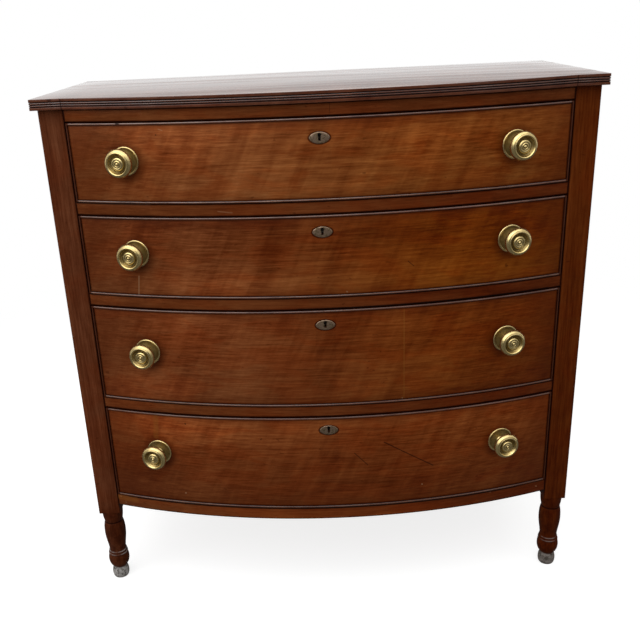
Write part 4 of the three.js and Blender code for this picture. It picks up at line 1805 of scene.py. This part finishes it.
@dataclass
class Studio:
    """The camera at the photograph's place, a white ground and soft daylight."""

    spot: tuple[float, float, float] = (-0.025342, -1.70098, 1.193497)
    pitch: float = 0.3709695
    yaw: float = -0.02599178
    roll: float = -0.04802251
    focal: float = 808.917
    image: float = 640
    shift: tuple[float, float] = (27.211, 11.109)
    sensor: float = 36
    fill: float = 0.4
    ground_half: float = 30
    ground_lit: Colour = (0.5, 0.5, 0.5)
    ground_cast: Colour = (0.3, 0.3, 0.3)
    ground_glow: float = 0.76
    ground_ends: tuple[float, float] = (1.1, 2.2)
    panels: tuple[Panel, ...] = (
        Panel((-1.6, -2.6, 3.2), (0, -0.2, 0.75), 5.4, 4.4, 1.4),
        Panel((0.0, -0.3, 3.3), (0, 0, 0.6), 4.4, 3.0, 1.0),
    )
    cards: tuple[Panel, ...] = (
        Panel((0.0, -3.1, 0.01), (0.0, -3.1, 1.0), 10.0, 8.2, 0.17),
        Panel((0.0, -4.0, 1.2), (0.0, 0.0, 1.0), 5.6, 2.4, 0.11),
        Panel((-4.4, -2.4, 1.2), (0.0, 0.0, 1.0), 4.2, 2.4, 0.3),
        Panel((4.4, -2.4, 1.2), (0.0, 0.0, 1.0), 4.2, 2.4, 0.3),
    )

    def build(self) -> None:
        """Sets up everything that isn't the chest."""
        bpy.context.scene.view_settings.view_transform = "Standard"
        self._camera()
        self._lights()
        self._cards()
        self._world()
        self._ground()

    def _camera(self) -> None:
        """Places the camera by its turn, tilt and roll."""
        yaw, pitch, roll = self.yaw, self.pitch, self.roll
        ahead = Vector(
            (math.sin(yaw) * math.cos(pitch), math.cos(yaw) * math.cos(pitch), -math.sin(pitch))
        )
        right = Vector((math.cos(yaw), -math.sin(yaw), 0))
        above = right.cross(ahead)
        across = math.cos(roll) * right + math.sin(roll) * above
        upward = math.cos(roll) * above - math.sin(roll) * right
        turn = Matrix((across, upward, -ahead)).transposed().to_4x4()
        data = bpy.data.cameras.new("camera")
        data.sensor_width = self.sensor
        data.lens = self.focal * self.sensor / self.image
        data.shift_x = self.shift[0] / self.image
        data.shift_y = self.shift[1] / self.image
        camera = show("camera", data)
        camera.matrix_world = Matrix.Translation(self.spot) @ turn
        bpy.context.scene.camera = camera

    def _lights(self) -> None:
        """Large soft panels, lit to a radiance that their size doesn't change."""
        for number, panel in enumerate(self.panels):
            data = bpy.data.lights.new(f"panel_{number}", "AREA")
            data.shape = "RECTANGLE"
            data.size, data.size_y = panel.width, panel.height
            data.energy = panel.level * math.pi * panel.width * panel.height
            lamp = show(f"panel_{number}", data)
            lamp.matrix_world = panel.place()
            lamp.visible_camera = False

    def _cards(self) -> None:
        """Dim cards that only reflections show, in place of what stood round the chest."""
        for number, panel in enumerate(self.cards):
            recipe = Recipe(f"card_{number}")
            tone = (panel.level, panel.level, panel.level, 1)
            finish = recipe.end(recipe.node("Emission", sockets={"Color": tone, "Strength": 1}))
            card = self._flat(f"card_{number}", panel.width / 2, panel.height / 2, finish)
            card.matrix_world = panel.place()
            card.visible_camera = False
            card.visible_diffuse = False
            card.visible_shadow = False
            card.visible_transmission = False

    @staticmethod
    def _flat(
        name: str, half_x: float, half_y: float, finish: bpy.types.Material
    ) -> bpy.types.Object:
        """Makes a flat rectangle at the origin.

        Args:
            name: its name.
            half_x: half of its length.
            half_y: half of its width.
            finish: its material.

        Returns:
            The rectangle.
        """
        bm = bmesh.new()
        sheet(bm, half_x, half_y, Matrix.Identity(4))
        mesh = as_mesh(name, bm)
        mesh.materials.append(finish)
        return show(name, mesh)

    @staticmethod
    def _seen(recipe: Recipe) -> Wire:
        """Tells the rays that see the background from those that only carry light.

        Args:
            recipe: the material or world in hand.

        Returns:
            1 for rays that see the background, and 0 for the others.
        """
        path = recipe.node("LightPath", output="Is Camera Ray")
        outputs = path.socket.node.outputs
        glossy = Wire(recipe.tree, outputs["Is Glossy Ray"])
        through = Wire(recipe.tree, outputs["Is Transmission Ray"])
        return path.most(glossy).most(through)

    def _world(self) -> None:
        """A world that looks white and lights softly."""
        recipe = Recipe("daylight", world=True)
        strength = self.fill + self._seen(recipe) * (1 - self.fill)
        sky = recipe.node("Background", sockets={"Color": (1, 1, 1, 1), "Strength": strength})
        bpy.context.scene.world = recipe.end(sky)

    def _ground(self) -> None:
        """A white floor that keeps a faint shadow."""
        recipe = Recipe("ground")
        seen = self._seen(recipe)
        matt = recipe.node("BsdfDiffuse", sockets={"Color": (*self.ground_cast, 1)})
        faint = recipe.node("BsdfDiffuse", sockets={"Color": (*self.ground_lit, 1)})
        white = {"Color": (1, 1, 1, 1), "Strength": 1}
        glow = recipe.node("Emission", sockets={**white, "Strength": self.ground_glow})
        near = recipe.node("AddShader", sockets={0: faint, 1: glow})
        far = recipe.node("Emission", sockets=white)
        x, y, _ = recipe.place()
        away = x.reach(y).rise(*self.ground_ends)
        shown = recipe.node("MixShader", sockets={0: away, 1: near, 2: far})
        both = recipe.node("MixShader", sockets={0: seen, 1: matt, 2: shown})
        ground = self._flat("ground", self.ground_half, self.ground_half, recipe.end(both))


# Palette
# The darkest colour, for dark marks and for painted shadow in the gaps.
INK_AND_SHADOW = (0.008, 0.003, 0.002)
PALE_SCAR = (0.34, 0.18, 0.09)
GOLDEN = (0.24, 0.085, 0.014)

FRONTS = {
    1: {
        "base": (0.212, 0.0615, 0.0165),
        "lift": 0.06,
        "right_shade_tint": (1.0, 0.93, 0.58),
        "patches": (
            Patch(-0.44, 0.6, 0.09, 1.0, 0.72),
            Patch(-0.25, 0.85, 0.13, 0.5, 1.38),
            Patch(0.19, 0.62, 0.09, 0.4, 1.4),
        ),
    },
    2: {
        "base": (0.164, 0.0445, 0.0122),
        "lift": 0.3,
        "right_shade_tint": (1.0, 0.76, 0.2),
        "patches": (Patch(-0.22, 0.1, 0.2, 0.4, 1.5), Patch(0.13, 0.76, 0.14, 0.25, 0.72)),
    },
    3: {
        "base": (0.148, 0.0385, 0.0105),
        "lift": 0.12,
        "right_shade_tint": (1.0, 0.8, 0.36),
        "patches": (Patch(-0.38, 0.12, 0.17, 0.4, 1.65), Patch(-0.24, 0.85, 0.13, 0.35, 1.32)),
    },
    4: {
        "base": (0.172, 0.0435, 0.0105),
        "sink": 0.25,
        "right_shade_tint": (1.0, 0.9, 0.7),
        "patches": (Patch(-0.33, 0.92, 0.2, 0.35, 1.6),),
    },
}

RAIL_MARKS = (
    Scratch((0.0193, 1.031), (0.0193, 1.0515), 0.7 * MM, INK_AND_SHADOW, 0.5),
    Scratch((0.446, 0.2195), (0.448, 0.2185), 1.6 * MM, PALE_SCAR, 0.6),
    Scratch((-0.4615, 0.2265), (-0.4595, 0.226), 1.6 * MM, PALE_SCAR, 0.6),
    Scratch((-0.4512, 0.2128), (-0.4494, 0.2125), 1.4 * MM, PALE_SCAR, 0.5),
    Scratch((0.1155, 0.2312), (0.1185, 0.231), 1.0 * MM, PALE_SCAR, 0.6),
    Scratch((0.3385, 0.2282), (0.342, 0.228), 1.0 * MM, PALE_SCAR, 0.5),
    Scratch((-0.1897, 0.8663), (-0.1639, 0.8635), 1.6 * MM, PALE_SCAR, 0.3),
    # The next two long dark lines are painted shadow in the gaps between the drawers and the
    # rails.
    Scratch((-0.05, 0.6722), (0.44, 0.6722), 4.6 * MM, INK_AND_SHADOW, 0.9),
    Scratch((-0.44, 0.2306), (0.4, 0.2306), 3.6 * MM, INK_AND_SHADOW, 0.85),
    Scratch((-0.462, 0.2235), (-0.425, 0.2225), 9.0 * MM, GOLDEN, 0.35),
)

BEAD_MARKS = (Scratch((-0.3655, 1.0266), (-0.3605, 1.0266), 2.0 * MM, INK_AND_SHADOW, 0.9),)

MARKS = {
    1: (
        Scratch((-0.2871, 1.0164), (-0.28, 1.0136), 1.0 * MM, PALE_SCAR, 0.6),
        Scratch((-0.2928, 1.0062), (-0.2926, 1.0056), 1.6 * MM, INK_AND_SHADOW, 0.7),
    ),
    2: (
        Scratch((-0.356, 0.7392), (-0.3605, 0.7022), 1.3 * MM, PALE_SCAR, 0.8),
        Scratch((0.1579, 0.7585), (0.1693, 0.7479), 1.0 * MM, INK_AND_SHADOW, 0.7),
        Scratch((0.0426, 0.7061), (0.0432, 0.7056), 1.8 * MM, PALE_SCAR, 0.7),
    ),
    3: (
        Scratch((0.151, 0.663), (0.1518, 0.4754), 1.2 * MM, GOLDEN, 0.5),
        Scratch((0.1478, 0.4762), (0.1484, 0.4762), 1.6 * MM, PALE_SCAR, 0.9),
    ),
    4: (
        Scratch((0.1113, 0.3797), (0.2135, 0.3148), 1.3 * MM, INK_AND_SHADOW, 0.85),
        Scratch((0.0508, 0.3586), (0.0781, 0.3287), 1.1 * MM, INK_AND_SHADOW, 0.75),
        Scratch((-0.356, 0.4362), (-0.3606, 0.3888), 8.0 * MM, GOLDEN, 0.3),
        Scratch((-0.2941, 0.4238), (-0.2935, 0.4228), 2.2 * MM, INK_AND_SHADOW, 0.7),
        Scratch((-0.1388, 0.3942), (-0.1376, 0.3958), 1.8 * MM, INK_AND_SHADOW, 0.6),
        Scratch((-0.3084, 0.2567), (-0.3079, 0.2567), 2.2 * MM, PALE_SCAR, 0.9),
        Scratch((0.1906, 0.2724), (0.1914, 0.272), 1.9 * MM, PALE_SCAR, 0.8),
    ),
}


def finishes() -> dict[str, bpy.types.Material]:
    """Makes every material.

    Returns:
        The materials, by the names that the pieces call them.
    """
    low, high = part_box("top_board")
    edges = tuple(corner.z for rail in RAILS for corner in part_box(rail))
    grooves = tuple(low.z + height for height in TopBoard.grooves)
    leg = dict(grain=Grain.UPRIGHT, curl=0.1, streak=0.3, fibre=0.5, gloss=0.5, shine=0.05)
    made = {
        "top": TopPolish(
            "top_polish", base=(0.1, 0.031, 0.014), gloss=0.24, surface_z=high.z, grooves=grooves
        ),
        "post_left": LegPolish(
            "left_post_polish", base=(0.112, 0.031, 0.0115), bare=(0.43, 0.41, 0.39),
            leg_dark=0.46, **leg,
        ),
        "post_right": LegPolish(
            "right_post_polish", base=(0.092, 0.0175, 0.0024), bare=(0.23, 0.2, 0.18),
            leg_dark=0.16, **leg,
        ),
        "side": Polished(
            "side_polish", grain=Grain.UPRIGHT, base=(0.09, 0.022, 0.0055), curl=0.12
        ),
        "rail": RailPolish(
            "rail_polish", base=(0.13, 0.0335, 0.0085), curl=0.08, edges=edges, marks=RAIL_MARKS
        ),
        "bead": BeadPolish("bead_polish", base=(0.15, 0.048, 0.016), curl=0.05, marks=BEAD_MARKS),
        "core": Polished("front_core", base=(0.09, 0.03, 0.012), gloss=0.6),
        "bare_across": Bare("bare_across", Grain.ACROSS),
        "bare_deep": Bare("bare_deep", Grain.DEEP),
        "bare_upright": Bare(
            "bare_upright", Grain.UPRIGHT,
            dark=(0.14, 0.072, 0.03), body=(0.27, 0.155, 0.072), pale=(0.38, 0.24, 0.125),
        ),
        "knob": Metal(
            "knob_brass", bright=(0.66, 0.51, 0.23), dull=(0.4, 0.29, 0.1),
            dirt_and_shade=(0.13, 0.072, 0.006), gloss=0.24, patina=0.3,
        ),
        "plate": Metal(
            "plate_brass", bright=(0.38, 0.26, 0.18), dull=(0.13, 0.1, 0.045),
            dirt_and_shade=(0.012, 0.007, 0.004), gloss=0.4, patina=0.9, lumps=0.1, mottle=230,
        ),
        "iron": Metal(
            "iron", bright=(0.16, 0.14, 0.12), dull=(0.09, 0.06, 0.04),
            dirt_and_shade=(0.03, 0.02, 0.01), gloss=0.5, patina=0.7, lumps=0.1,
        ),
    }
    for number, look in FRONTS.items():
        name = f"drawer_{number}"
        low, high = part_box(f"{name}_front")
        plate = sum(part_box(f"{name}_key_plate"), Vector()) / 2
        knob = sum(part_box(f"{name}_knob_right"), Vector()) / 2
        made[name] = FrontVeneer(
            f"{name}_veneer", fibre=0.56, marks=MARKS[number], shift=number * 1.7, low=low.z,
            high=high.z, half=high.x, plate=plate.z, knob_z=knob.z, **look,
        )
    return {key: value.make() for key, value in made.items()}


def main() -> None:
    """Builds the studio and the chest."""
    logging.basicConfig(level=logging.INFO, format="%(message)s")
    Studio().build()
    bow = Bow()
    paint = finishes()
    TopBoard(bow, paint).build()
    Post(bow, paint).build()
    FrontRails(bow, paint).build()
    CaseInside(bow, paint).build()
    for number in DRAWERS:
        Drawer(bow, paint, number=number).build()


if __name__ == "__main__":
    main()
